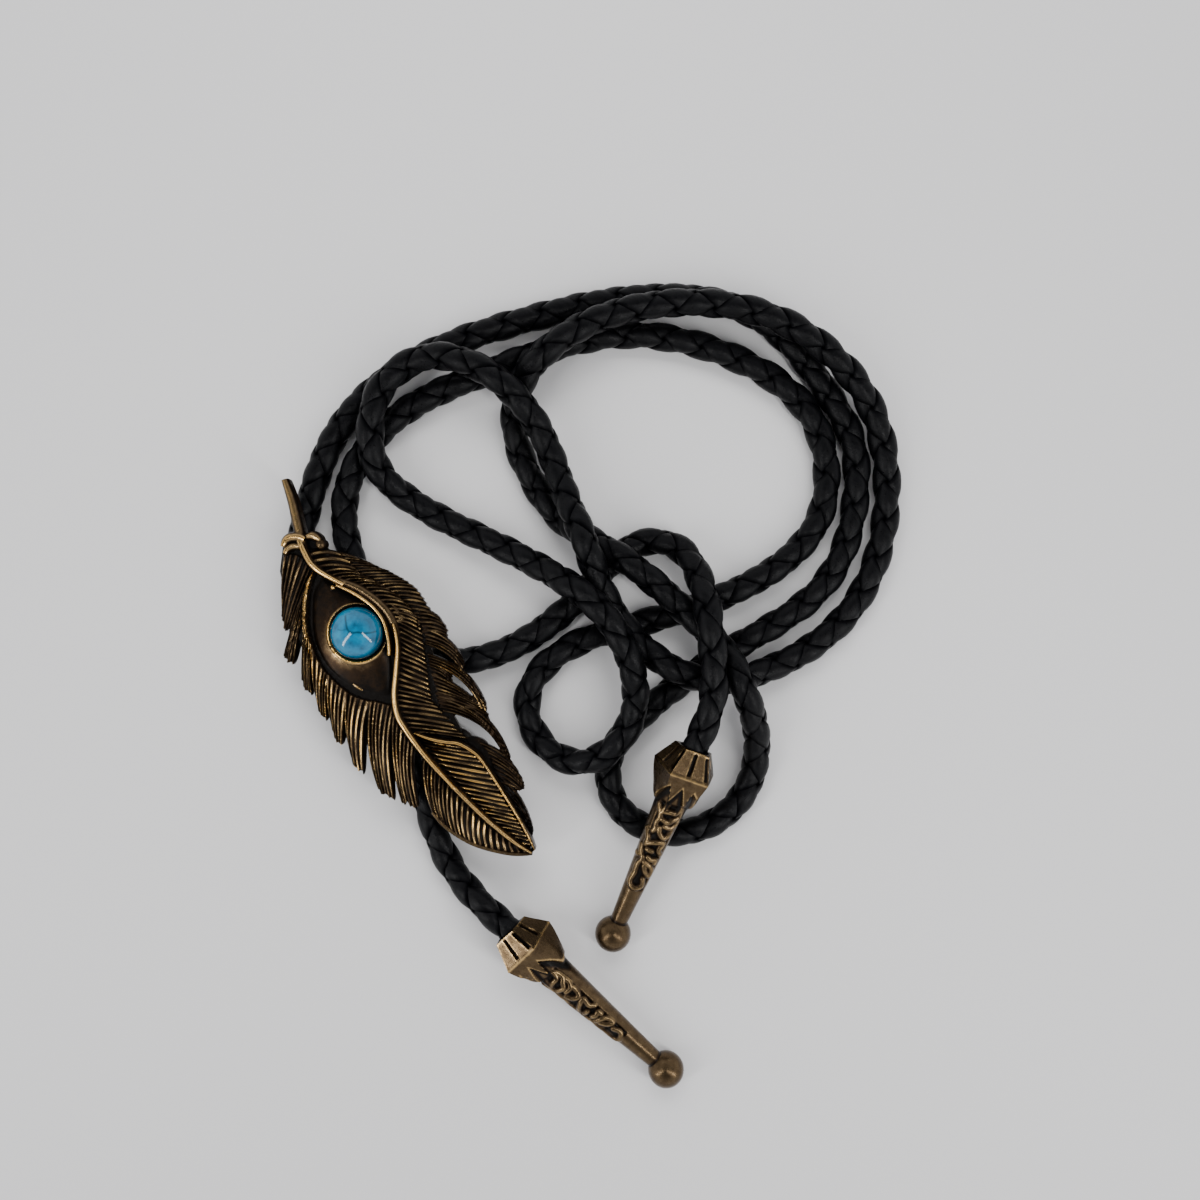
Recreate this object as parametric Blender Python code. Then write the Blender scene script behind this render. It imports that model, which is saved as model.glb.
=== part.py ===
"""Bolo tie: a cast peacock-feather slide with a round stone, its back clip, one cord and two cast tips.

Lengths are in millimetres here, and MM turns them to metres where they meet Blender. The origin is
the middle of the clip's flat back. +Z is up from the surface that the tie lies on, +X runs to the
right of the laid-out tie and +Y towards the top of its neck loop.
"""
import math

import bmesh
import bpy
import numpy as np
from mathutils import Matrix, Vector

MM = 0.001
FIT_GAP = 0.3
FLAT_ANGLE = 1.0

# The cord, and the room that one lap leaves over another
CORD_DIAMETER = 4.4
LAP_GAP = 0.35
CORD_SAMPLES = 96
CORD_BEND_WEIGHT = 8.0
CORD_BEVEL_RESOLUTION = 3

# The clip behind the slide: a plate with three walls, and a channel for each leg of the cord
CLIP_LENGTH = 8.0
CLIP_PLATE = 0.9
CLIP_SIDE_WALL = 1.2
CHANNEL_SPACING = 10.0
CHANNEL_CLEARANCE = 0.35

# The feather slide, from the top of the stem to the tip. Its solids run past its back by the stock, each
# a step further than the one before, and one cut makes the back flat.
FEATHER_LENGTH = 72.0
FEATHER_ANGLE = -55.95
FEATHER_THICKNESS = 2.3
BACK_STOCK = 0.5
BACK_STEP = 0.03
BARB_DEPTH = 0.55
LIP_DROP = 0.8
LIP_WIDTH = 0.7
WEB_THICKNESS = 1.3
RACHIS_RISE = 0.9
RIM_RISE = 0.5
DISH_EDGE = 1.0

# The stone and its seat in the eye
STONE_DIAMETER = 8.7
STONE_HEIGHT = 4.6
STONE_GIRDLE = 1.6
STONE_SIDES = 32
SEAT_FLOOR = 0.8
SEAT_RISE = 2.2

# The cast tips: a faceted ferrule, a tapered shaft with a scroll on it, and a ball
TIP_LENGTH = 35.8
TIP_MOUTH_DIAMETER = 7.0
TIP_GIRDLE_DIAMETER = 9.8
TIP_GIRDLE_AT = 6.4
TIP_FERRULE_LENGTH = 10.6
TIP_SHAFT_DIAMETER = 5.4
TIP_NECK_DIAMETER = 2.7
TIP_BALL_DIAMETER = 5.9
TIP_BORE_DEPTH = 5.2
BORE_CLEARANCE = 0.5
TIP_FACETS = 8
TIP_SIDES = 24
SLOT_DEPTH = 0.5
SCROLL_RISE = 0.35
SCROLL_WIDTH = 0.75

CORD_RADIUS = CORD_DIAMETER / 2
LAP = CORD_DIAMETER + LAP_GAP
CHANNEL_WIDTH = CORD_DIAMETER + 2 * CHANNEL_CLEARANCE
CLIP_HEIGHT = CLIP_PLATE + CORD_DIAMETER + CHANNEL_CLEARANCE
CLIP_WIDTH = CHANNEL_SPACING + CHANNEL_WIDTH + 2 * CLIP_SIDE_WALL
FEATHER_BACK = CLIP_HEIGHT + FIT_GAP
# How high the cord lies in the clip, counted in laps as the route counts it
IN_CLIP = (CLIP_PLATE + FIT_GAP) / LAP

# The cord's route from the upper tip to the lower one: x, y, and its height counted in laps, so that
# 0 lies on the surface, 1 rides over one lap and 2 over two
CORD_ROUTE = [
    (53.5, -21.3, 1.665), (55.0, -17.7, 1.853), (56.4, -14.1, 2.02), (57.3, -10.6, 2.1), (57.3, -4.0, 2.12), (56.6, 2.8, 2.0),
    (55.4, 8.6, 1.2), (53.0, 12.7, 0.5), (48.9, 14.3, 0.12), (44.2, 13.1, 0.0), (40.0, 9.2, 0.0),
    (34.2, 3.2, 0.0), (21.2, -4.6, 0.05), (12.8, -5.0, 0.18), (6.9, -1.2, IN_CLIP), (4.15, 2.8, IN_CLIP), (1.4, 6.8, IN_CLIP),
    (-1.8, 14.4, 0.15), (-2.3, 21.4, 0.0), (4.8, 33.6, 0.0), (21.6, 42.4, 0.0), (41.4, 48.2, 0.0),
    (60.8, 45.0, 0.0), (74.8, 34.2, 0.0), (77.0, 26.0, 0.0), (75.6, 17.8, 0.0), (70.0, 11.0, 0.0),
    (62.4, 6.4, 0.0), (46.0, 0.8, 0.0), (31.6, -5.2, 0.0), (27.8, -11.0, 0.0), (29.8, -18.4, 0.1),
    (35.8, -21.6, 0.6), (42.2, -18.6, 1.05), (45.2, -12.4, 1.1), (44.6, -5.6, 1.68), (40.8, 1.8, 1.95),
    (36.4, 6.0, 1.85), (31.4, 9.2, 1.1), (19.6, 15.2, 0.2), (8.4, 21.2, 0.2), (4.0, 25.6, 0.7),
    (2.8, 32.0, 1.05), (4.8, 39.0, 1.05), (10.8, 43.4, 1.05), (24.2, 39.0, 1.5), (29.2, 33.4, 1.0),
    (34.6, 20.4, 1.05), (37.0, 14.6, 1.68), (39.9, 6.6, 1.2), (51.2, -6.2, 1.06), (58.2, -8.4, 0.86),
    (65.2, -7.4, 0.22), (80.6, 2.6, 0.0), (86.9, 21.2, 0.0), (83.2, 37.2, 0.5), (77.0, 44.2, 0.9),
    (68.6, 49.6, 1.03), (59.0, 52.2, 1.0), (49.4, 52.2, 1.0), (39.6, 49.9, 1.0), (30.8, 44.4, 1.05),
    (26.4, 38.8, 0.45), (25.6, 33.0, 0.1), (28.2, 25.0, 0.0), (33.4, 17.8, 0.08), (41.6, 12.4, 0.98),
    (55.2, 1.2, 0.98), (59.9, -4.0, 1.32), (62.6, -9.8, 1.6), (64.9, -16.4, 0.75), (64.6, -24.6, 0.0),
    (60.8, -30.2, 0.0), (54.4, -33.4, 0.0), (46.8, -32.6, 0.0), (41.8, -27.8, 0.0), (41.4, -21.2, 0.0),
    (46.6, -14.2, 0.0), (62.8, -2.6, 0.0), (77.0, 7.8, 0.0), (81.9, 23.2, 0.0), (81.2, 31.0, 0.0),
    (77.6, 38.2, 0.0), (65.0, 51.6, 0.0), (46.2, 54.4, 0.0), (26.6, 50.6, 0.0), (8.4, 43.6, 0.0),
    (-3.8, 32.0, 0.0), (-8.6, 19.4, 0.0), (-10.0, 11.6, 0.08), (-6.9, 1.2, IN_CLIP), (-4.15, -2.8, IN_CLIP), (-1.4, -6.8, IN_CLIP),
    (5.4, -17.0, 0.08), (10.6, -27.4, 0.0), (15.0, -38.8, 0.0), (21.2, -45.4, 0.6), (24.2, -48.15, 0.6), (27.1, -50.8, 0.55),
]

# Each tip's mouth, and the middle of its ball end
TIP_PLACES = {
    "tip_a": ((55.0, -17.7, 11.0), (41.6, -50.5, 3.0)),
    "tip_b": ((24.2, -48.15, 5.05), (50.3, -72.15, 2.97)),
}

# Places on the feather are shares of its length: along it from the top of the stem, and across it
CLIP_SEAT = (0.358, -0.063)
STONE_SEAT = (0.372, -0.057)

# Ribs, as rows of (along, across, half width)
STEM = ((0.0, 0.0, 0.008), (0.05, -0.014, 0.01), (0.1, -0.033, 0.011), (0.15, -0.052, 0.011))
RACHIS = (
    (0.13, -0.048, 0.009), (0.177, -0.055, 0.0095), (0.207, -0.051, 0.0095), (0.251, -0.03, 0.0075),
    (0.298, 0.0, 0.006), (0.335, 0.015, 0.006), (0.366, 0.021, 0.006), (0.394, 0.02, 0.006),
    (0.426, 0.012, 0.006), (0.453, -0.003, 0.0065), (0.49, -0.032, 0.0095), (0.53, -0.064, 0.01),
    (0.566, -0.082, 0.011), (0.6, -0.087, 0.011), (0.68, -0.084, 0.0095), (0.778, -0.07, 0.0085),
    (0.869, -0.051, 0.0075), (0.95, -0.027, 0.007), (0.992, -0.008, 0.005),
)
EYE_RIDGE = (
    (0.24, -0.035, 0.006), (0.289, -0.016, 0.0075), (0.32, -0.002, 0.0075), (0.349, 0.005, 0.0075),
    (0.38, 0.006, 0.0075), (0.408, -0.003, 0.0075), (0.433, -0.014, 0.0075), (0.456, -0.027, 0.0065),
)
LEAF_RIM = (
    (0.6, -0.08, 0.005), (0.64, -0.057, 0.006), (0.674, -0.026, 0.0065), (0.702, -0.001, 0.0065),
    (0.747, 0.016, 0.0065), (0.808, 0.012, 0.006), (0.891, 0.006, 0.0055), (0.962, 0.004, 0.005),
    (0.99, 0.0, 0.004),
)
WRAP_LEFT = ((0.137, -0.1, 0.007), (0.122, -0.078, 0.0075), (0.118, -0.058, 0.0075), (0.132, -0.037, 0.006))
WRAP_RIGHT = ((0.122, -0.04, 0.006), (0.133, -0.024, 0.0065), (0.147, -0.013, 0.0065), (0.163, -0.011, 0.006))

# Outlines, as (along, across): the eye's border, and the low web between the tufts
EYE_BORDER = (
    (0.204, -0.056), (0.225, -0.093), (0.265, -0.122), (0.3, -0.142), (0.335, -0.156), (0.37, -0.163),
    (0.405, -0.164), (0.442, -0.157), (0.48, -0.14), (0.513, -0.114), (0.548, -0.08), (0.5, -0.042),
    (0.455, -0.02), (0.42, -0.004), (0.38, 0.008), (0.345, 0.006), (0.31, -0.008), (0.27, -0.026),
    (0.232, -0.042),
)
WEB = (
    (0.12, -0.09), (0.16, -0.125), (0.215, -0.148), (0.262, -0.168), (0.31, -0.176), (0.345, -0.178),
    (0.4, -0.19), (0.46, -0.188), (0.52, -0.168), (0.575, -0.155), (0.62, -0.13), (0.65, -0.095),
    (0.72, -0.07), (0.74, 0.005), (0.68, 0.012), (0.62, 0.018), (0.56, 0.03), (0.5, 0.055), (0.44, 0.078),
    (0.385, 0.09), (0.32, 0.075), (0.27, 0.045), (0.22, 0.02), (0.17, -0.015), (0.13, -0.03),
)

# Fans of barbs: the lines that the barbs start and end on, as (along, across), how many barbs, how far
# their middles bow as a share of a barb's own length, the fan's height at its root and tip as shares of
# the thickness, and whether a low lip follows the last barb
FANS = (
    dict(start=((0.13, -0.085), (0.168, -0.056)), end=((0.262, -0.187), (0.272, -0.172)),
         barbs=4, bow=0, root=0.9, tip=0.65, lip=1),
    dict(start=((0.243, -0.135), (0.275, -0.138)), end=((0.33, -0.226), (0.336, -0.212)),
         barbs=3, bow=0.025, root=0.85, tip=0.65, lip=1),
    dict(start=((0.203, -0.055), (0.265, -0.118), (0.35, -0.157)),
         end=((0.212, -0.098), (0.275, -0.148), (0.372, -0.185)),
         barbs=10, bow=0, root=1.0, tip=0.85, lip=0),
    dict(start=((0.335, -0.153), (0.38, -0.162)), end=((0.396, -0.226), (0.412, -0.218)),
         barbs=3, bow=0.02, root=1.0, tip=0.65, lip=1),
    dict(start=((0.37, -0.16), (0.43, -0.158)), end=((0.464, -0.231), (0.474, -0.219)),
         barbs=3, bow=0.025, root=1.0, tip=0.65, lip=1),
    dict(start=((0.42, -0.16), (0.476, -0.14)), end=((0.533, -0.231), (0.542, -0.219)),
         barbs=4, bow=0.03, root=1.0, tip=0.65, lip=1),
    dict(start=((0.47, -0.143), (0.522, -0.105)), end=((0.616, -0.231), (0.63, -0.219)),
         barbs=4, bow=0.06, root=1.0, tip=0.65, lip=1),
    dict(start=((0.515, -0.112), (0.556, -0.078)), end=((0.704, -0.217), (0.724, -0.199)),
         barbs=4, bow=0.06, root=1.0, tip=0.65, lip=1),
    dict(start=((0.548, -0.08), (0.6, -0.084), (0.646, -0.086)),
         end=((0.745, -0.188), (0.76, -0.176), (0.775, -0.165)),
         barbs=5, bow=0.055, root=1.0, tip=0.65, lip=0),
    dict(start=((0.675, -0.084), (0.76, -0.072), (0.87, -0.05), (0.975, -0.015)),
         end=((0.8, -0.145), (0.865, -0.13), (0.93, -0.09), (0.994, -0.016)),
         barbs=17, bow=0.09, root=0.95, tip=0.7, lip=0),
    dict(start=((0.615, -0.085), (0.7, -0.08), (0.8, -0.064), (0.9, -0.041), (0.975, -0.015)),
         end=((0.668, -0.03), (0.747, 0.014), (0.84, 0.009), (0.93, 0.005), (0.99, 0.0)),
         barbs=16, bow=-0.05, root=0.95, tip=1.1, lip=0),
    dict(start=((0.14, -0.04), (0.2, -0.047), (0.251, -0.028), (0.298, 0.0), (0.335, 0.014)),
         end=((0.172, -0.012), (0.202, 0.025), (0.24, 0.043), (0.271, 0.061), (0.345, 0.062)),
         barbs=10, bow=-0.08, root=0.95, tip=0.7, lip=0),
    dict(start=((0.33, 0.012), (0.394, 0.018), (0.453, -0.004), (0.53, -0.063), (0.6, -0.085)),
         end=((0.33, 0.055), (0.388, 0.076), (0.456, 0.06), (0.53, 0.024), (0.63, 0.0)),
         barbs=19, bow=-0.08, root=1.0, tip=0.75, lip=0),
    dict(start=((0.262, 0.03), (0.33, 0.05), (0.39, 0.068)),
         end=((0.279, 0.061), (0.323, 0.09), (0.372, 0.106), (0.398, 0.099)),
         barbs=7, bow=-0.08, root=0.8, tip=0.65, lip=0),
    dict(start=((0.385, 0.07), (0.43, 0.063), (0.468, 0.048)),
         end=((0.404, 0.099), (0.441, 0.109), (0.471, 0.11), (0.492, 0.102)),
         barbs=6, bow=-0.1, root=0.8, tip=0.65, lip=0),
    dict(start=((0.455, 0.055), (0.475, 0.045)), end=((0.57, 0.097), (0.577, 0.088)),
         barbs=2, bow=-0.13, root=0.8, tip=0.6, lip=0),
    dict(start=((0.498, 0.037), (0.515, 0.028)), end=((0.677, 0.087), (0.682, 0.076)),
         barbs=3, bow=-0.13, root=0.8, tip=0.6, lip=0),
    dict(start=((0.52, 0.028), (0.575, 0.002)), end=((0.652, 0.076), (0.7, 0.07)),
         barbs=5, bow=0.1, root=0.7, tip=0.55, lip=0),
    dict(start=((0.57, 0.004), (0.595, -0.004)), end=((0.786, 0.068), (0.79, 0.058)),
         barbs=3, bow=-0.136, root=0.8, tip=0.6, lip=0),
    dict(start=((0.59, -0.07), (0.68, -0.03), (0.76, 0.012), (0.86, 0.006), (0.97, -0.002)),
         end=((0.62, 0.005), (0.68, 0.018), (0.765, 0.053), (0.86, 0.036), (0.985, 0.004)),
         barbs=6, bow=0, root=0.55, tip=0.5, lip=0),
    dict(start=((0.74, 0.03), (0.79, 0.016)), end=((0.864, 0.057), (0.87, 0.047)),
         barbs=3, bow=-0.1, root=0.7, tip=0.55, lip=0),
    dict(start=((0.8, 0.025), (0.86, 0.006)), end=((0.955, 0.021), (0.972, 0.008)),
         barbs=3, bow=-0.08, root=0.7, tip=0.55, lip=0),
)

# The scroll on each tip's shaft, as rows of (share of the shaft's length, turn round it, half width share)
SCROLLS = (
    ((0.03, -0.1, 0.6), (0.1, -0.6, 1.0), (0.2, -0.75, 1.0), (0.3, -0.2, 1.0), (0.38, 0.45, 1.0),
     (0.48, 0.5, 0.8), (0.52, 0.1, 0.6)),
    ((0.05, 0.15, 0.6), (0.1, 0.65, 1.0), (0.2, 0.7, 1.0), (0.27, 0.3, 0.8), (0.22, 0.0, 0.6)),
)

COLOURS = {
    "brass": ((0.42, 0.31, 0.16, 1.0), 0.4, 1.0),
    "stone": ((0.02, 0.28, 0.5, 1.0), 0.2, 0.0),
    "leather": ((0.013, 0.012, 0.012, 1.0), 0.55, 0.0),
}


def clear_scene():
    """Remove every object that the scene holds."""
    for thing in list(bpy.data.objects):
        bpy.data.objects.remove(thing, do_unlink=True)


def material(name):
    """Return the named material, made from its colour, roughness and metallic value."""
    found = bpy.data.materials.get(name)
    if found:
        return found
    colour, roughness, metallic = COLOURS[name]
    made = bpy.data.materials.new(name)
    made.use_nodes = True
    shader = made.node_tree.nodes["Principled BSDF"]
    shader.inputs["Base Color"].default_value = colour
    shader.inputs["Roughness"].default_value = roughness
    shader.inputs["Metallic"].default_value = metallic
    return made


def add_object(name, data, slot, matrix=None):
    """Link a new object with its material, and place it."""
    thing = bpy.data.objects.new(name, data)
    bpy.context.scene.collection.objects.link(thing)
    data.materials.append(material(slot))
    if matrix:
        thing.matrix_world = matrix
    return thing


def finished_mesh(bm, name, sharp=30.0):
    """Turn a bmesh in millimetres into a mesh in metres, smooth below the sharp angle."""
    bmesh.ops.recalc_face_normals(bm, faces=bm.faces)
    if bm.calc_volume(signed=True) < 0:
        bmesh.ops.reverse_faces(bm, faces=bm.faces)
    bmesh.ops.scale(bm, vec=Vector((MM, MM, MM)), verts=bm.verts)
    mesh = bpy.data.meshes.new(name)
    bm.to_mesh(mesh)
    bm.free()
    mesh.shade_smooth()
    mesh.set_sharp_from_angle(angle=math.radians(sharp))
    return mesh


def add_cutter(name, solid, slot, matrix):
    """Return a hidden object that a Boolean modifier works with."""
    other = add_object(name, finished_mesh(solid, name), slot, matrix)
    other.hide_render = True
    other.display_type = "WIRE"
    return other


def join_solids(name, solids, slot, matrix=None, cutter=None):
    """Return one object: the solids united in one step, less the cutter, with its flat faces merged."""
    main = add_object(name, finished_mesh(solids[0], name), slot, matrix)
    others = bpy.data.collections.new(f"{name}_solids")
    bpy.context.scene.collection.children.link(others)
    for index, solid in enumerate(solids[1:], 1):
        other = add_cutter(f"{name}_cutter_{index}", solid, slot, matrix)
        others.objects.link(other)
    union = main.modifiers.new("Union", "BOOLEAN")
    union.operation = "UNION"
    union.solver = "EXACT"
    union.operand_type = "COLLECTION"
    union.collection = others
    if cutter:
        cut = main.modifiers.new("Cut", "BOOLEAN")
        cut.operation = "DIFFERENCE"
        cut.solver = "EXACT"
        cut.object = add_cutter(f"{name}_cutter", cutter, slot, matrix)
    flat = main.modifiers.new("Merge flat faces", "DECIMATE")
    flat.decimate_type = "DISSOLVE"
    flat.angle_limit = math.radians(FLAT_ANGLE)
    return main


def curve_point(rows, share):
    """Return the point at a share of the way along a smooth curve through evenly spread rows."""
    last = len(rows) - 1
    if last == 1:
        return rows[0] + (rows[1] - rows[0]) * share
    index = min(int(share * last), last - 1)
    t = share * last - index
    b, c = rows[index], rows[index + 1]
    a = rows[index - 1] if index else 2 * b - c
    d = rows[index + 2] if index + 2 <= last else 2 * c - b
    return 0.5 * (2 * b + (c - a) * t + (2 * a - 5 * b + 4 * c - d) * t * t
                  + (3 * b - a - 3 * c + d) * t ** 3)


def turned(direction):
    """Return a plan direction as a unit vector turned a quarter turn to its left."""
    return np.array((-direction[1], direction[0])) / max(np.hypot(*direction), 1e-6)


def on_feather(rows):
    """Return rows of shares as arrays in millimetres, from the clip's seat on the feather."""
    seat = np.zeros(len(rows[0]))
    seat[:2] = CLIP_SEAT
    return [(np.array(row, float) - seat) * FEATHER_LENGTH for row in rows]


def patch(columns, rows, place):
    """Return a closed solid under a grid, whose points place(u, w) puts on its top."""
    bm = bmesh.new()
    bmesh.ops.create_grid(bm, x_segments=columns, y_segments=rows, size=0.5)
    for vert in bm.verts:
        vert.co = Vector(place(vert.co.x + 0.5, vert.co.y + 0.5))
    bmesh.ops.remove_doubles(bm, verts=bm.verts, dist=0.01)
    back = bmesh.ops.extrude_face_region(bm, geom=bm.faces[:])["geom"]
    for item in back:
        if isinstance(item, bmesh.types.BMVert):
            item.co.z = -BACK_STOCK
    bmesh.ops.dissolve_faces(bm, faces=[item for item in back if isinstance(item, bmesh.types.BMFace)])
    return bm


def fan(start, end, barbs, bow, root, tip, lip):
    """Return one fan of barbs, with a ridge for each barb and a valley on both its sides."""
    first, last = on_feather(start), on_feather(end)
    used = 2 * barbs
    rows = used + 2 * lip

    def place(u, w):
        row = round(w * rows)
        share = min(row, used) / used
        a, b = curve_point(first, share), curve_point(last, share)
        run = b - a
        side = turned(run)
        ridge = row % 2 == 1 and row < used
        reach = 1.0 if ridge or row > used else 0.965
        t = u * reach
        spot = a + run * t - side * bow * np.hypot(*run) * 4 * t * (1 - t)
        height = FEATHER_THICKNESS * (root + (tip - root) * u * u)
        if row > used:
            spot = spot + side * LIP_WIDTH * min(1.0, 0.2 + 2 * u) * (row - used) / 2
            height -= LIP_DROP * min(1.0, 3 * u)
        elif not ridge:
            height -= BARB_DEPTH * math.sin(math.pi * min(0.8, 0.2 + u))
        return spot[0], spot[1], height

    return patch(3, rows, place)


def rib(table, rise, columns):
    """Return a rib with a rounded top that follows the rows of a rib table."""
    rows = on_feather(table)

    def place(u, w):
        here = curve_point(rows, u)
        ahead = curve_point(rows, min(1.0, u + 0.01))
        behind = curve_point(rows, max(0.0, u - 0.01))
        across = 2 * w - 1
        spot = here[:2] + turned(ahead[:2] - behind[:2]) * across * here[2]
        return spot[0], spot[1], FEATHER_THICKNESS + rise * (1 - 1.4 * across * across)

    return patch(columns, 2, place)


def eye():
    """Return the eye: a pillow that rises from a low border towards the seat of the stone."""
    border = on_feather(EYE_BORDER)
    border.append(border[0])
    centre = on_feather([STONE_SEAT])[0]
    seat = STONE_DIAMETER / 2 + FIT_GAP
    rings = ((0.0, SEAT_RISE), (1.12, SEAT_RISE), (1.5, 0.75 * SEAT_RISE), (2.0, DISH_EDGE))

    def place(u, w):
        index = round(w * (len(rings) - 1))
        reach, height = rings[index]
        edge = curve_point(border, u)
        away = edge - centre
        rim = away / np.hypot(*away) * seat
        spot = centre + rim * min(reach, 1.0) + (away - rim) * max(0.0, reach - 1.0)
        return spot[0], spot[1], height

    return patch(40, len(rings) - 1, place)


def web():
    """Return the low plate that joins the tufts behind their barbs."""
    bm = bmesh.new()
    face = bm.faces.new([bm.verts.new((x, y, -BACK_STOCK)) for x, y in on_feather(WEB)])
    raised = bmesh.ops.extrude_face_region(bm, geom=[face])["geom"]
    for item in raised:
        if isinstance(item, bmesh.types.BMVert):
            item.co.z = WEB_THICKNESS
    return bm


def back_and_seat(depth):
    """Return what is cut away: the slab behind the flat back, and the round seat of the stone."""
    bm = bmesh.new()
    size = (2 * FEATHER_LENGTH, FEATHER_LENGTH, depth)
    slab = Matrix.Translation((0.0, 0.0, -depth / 2)) @ Matrix.Diagonal((*size, 1.0))
    bmesh.ops.create_cube(bm, size=1.0, matrix=slab)
    centre = on_feather([STONE_SEAT])[0]
    tall = 2 * STONE_HEIGHT
    radius = STONE_DIAMETER / 2 + FIT_GAP
    bmesh.ops.create_cone(bm, cap_ends=True, segments=STONE_SIDES, radius1=radius, radius2=radius, depth=tall,
                          matrix=Matrix.Translation((*centre, SEAT_FLOOR + tall / 2)))
    return bm


def build_feather():
    """Build the cast slide from its web, eye, fans of barbs and ribs."""
    solids = [eye(), web()]
    solids += [fan(**row) for row in FANS]
    solids += [rib(STEM, 0.3, 4), rib(RACHIS, RACHIS_RISE, 26), rib(EYE_RIDGE, RACHIS_RISE, 9)]
    solids += [rib(LEAF_RIM, RIM_RISE, 10), rib(WRAP_LEFT, 0.9, 6), rib(WRAP_RIGHT, 0.7, 6)]
    for index, solid in enumerate(solids):
        stock = [vert for vert in solid.verts if vert.co.z < 0.0]
        bmesh.ops.translate(solid, vec=(0.0, 0.0, -index * BACK_STEP), verts=stock)
    cutter = back_and_seat(BACK_STOCK + (len(solids) + 1) * BACK_STEP)
    lift = Matrix.Translation((0.0, 0.0, FEATHER_BACK * MM))
    turn = Matrix.Rotation(math.radians(FEATHER_ANGLE), 4, "Z")
    return join_solids("feather", solids, "brass", lift @ turn, cutter)


def revolve(profile, sides, radius_at=None):
    """Return a closed round solid along +X from (along, radius) rows that start and end at radius 0."""
    bm = bmesh.new()
    rows = len(profile) - 1
    bmesh.ops.create_grid(bm, x_segments=sides, y_segments=rows, size=0.5)
    for vert in bm.verts:
        column = round((vert.co.x + 0.5) * sides) % sides
        row = round((vert.co.y + 0.5) * rows)
        along, radius = profile[row]
        angle = math.tau * column / sides
        if radius_at:
            radius = radius_at(row, column, radius)
        vert.co = Vector((along, radius * math.cos(angle), radius * math.sin(angle)))
    bmesh.ops.remove_doubles(bm, verts=bm.verts, dist=0.01)
    return bm


def build_cabochon():
    """Build the stone: a low drum under a dome."""
    radius = STONE_DIAMETER / 2
    dome = STONE_HEIGHT - STONE_GIRDLE
    profile = [(0.0, 0.0), (0.0, radius - 0.3), (0.3, radius), (STONE_GIRDLE, radius)]
    steps = 6
    for step in range(1, steps):
        turn = math.pi / 2 * step / steps
        profile.append((STONE_GIRDLE + dome * math.sin(turn), radius * math.cos(turn)))
    profile.append((STONE_HEIGHT, 0.0))
    stand = Matrix.Rotation(-math.pi / 2, 4, "Y")
    centre = on_feather([STONE_SEAT])[0]
    turn = Matrix.Rotation(math.radians(FEATHER_ANGLE), 4, "Z")
    height = FEATHER_BACK + SEAT_FLOOR + FIT_GAP
    place = turn @ Matrix.Translation(Vector((centre[0], centre[1], height)) * MM)
    return add_object("cabochon", finished_mesh(revolve(profile, STONE_SIDES), "cabochon"), "stone",
                      place @ stand)


def build_back_clip():
    """Build the clip: its section, with a channel for each leg of the cord, extruded along its length."""
    half = CLIP_WIDTH / 2
    inner = (CHANNEL_SPACING - CHANNEL_WIDTH) / 2
    outer = (CHANNEL_SPACING + CHANNEL_WIDTH) / 2
    right = [(inner, CLIP_HEIGHT), (inner, CLIP_PLATE), (outer, CLIP_PLATE), (outer, CLIP_HEIGHT),
             (half, CLIP_HEIGHT), (half, 0.0)]
    section = right + [(-y, z) for y, z in reversed(right)]
    bm = bmesh.new()
    face = bm.faces.new([bm.verts.new((-CLIP_LENGTH / 2, y, z)) for y, z in section])
    grown = bmesh.ops.extrude_face_region(bm, geom=[face])["geom"]
    bmesh.ops.translate(bm, vec=(CLIP_LENGTH, 0.0, 0.0),
                        verts=[item for item in grown if isinstance(item, bmesh.types.BMVert)])
    turn = Matrix.Rotation(math.radians(FEATHER_ANGLE), 4, "Z")
    return add_object("back_clip", finished_mesh(bm, "back_clip"), "brass", turn)


def tip_profile():
    """Return the rows of (along, radius) of a tip, from the bottom of its bore round to its ball."""
    bore = CORD_RADIUS + BORE_CLEARANCE
    mouth = TIP_MOUTH_DIAMETER / 2
    girdle = TIP_GIRDLE_DIAMETER / 2
    shaft = TIP_SHAFT_DIAMETER / 2
    neck = TIP_NECK_DIAMETER / 2
    ball = TIP_BALL_DIAMETER / 2
    lower = TIP_FERRULE_LENGTH - TIP_GIRDLE_AT
    rows = [(TIP_BORE_DEPTH, 0.0), (TIP_BORE_DEPTH, bore), (0.0, bore), (0.0, mouth)]
    rows += [(share * TIP_GIRDLE_AT, mouth + (girdle - mouth) * share) for share in (0.15, 0.2, 0.8, 0.85)]
    rows += [(TIP_GIRDLE_AT, girdle), (TIP_GIRDLE_AT + 0.3 * lower, girdle * 0.9)]
    rows += [(TIP_GIRDLE_AT + 0.85 * lower, shaft * 1.15), (TIP_FERRULE_LENGTH, shaft)]
    start_angle = math.asin(neck / ball)
    neck_at = TIP_LENGTH - ball * math.cos(start_angle)
    for share, width in ((0.25, 0.86), (0.5, 0.66), (0.75, 0.36)):
        along = TIP_FERRULE_LENGTH + (neck_at - TIP_FERRULE_LENGTH) * share
        rows.append((along, neck + (shaft - neck) * width))
    steps = 7
    for step in range(steps):
        angle = start_angle + (math.pi - start_angle) * step / steps
        rows.append((TIP_LENGTH - ball * math.cos(angle), ball * math.sin(angle)))
    rows.append((TIP_LENGTH + ball, 0.0))
    return rows


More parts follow.
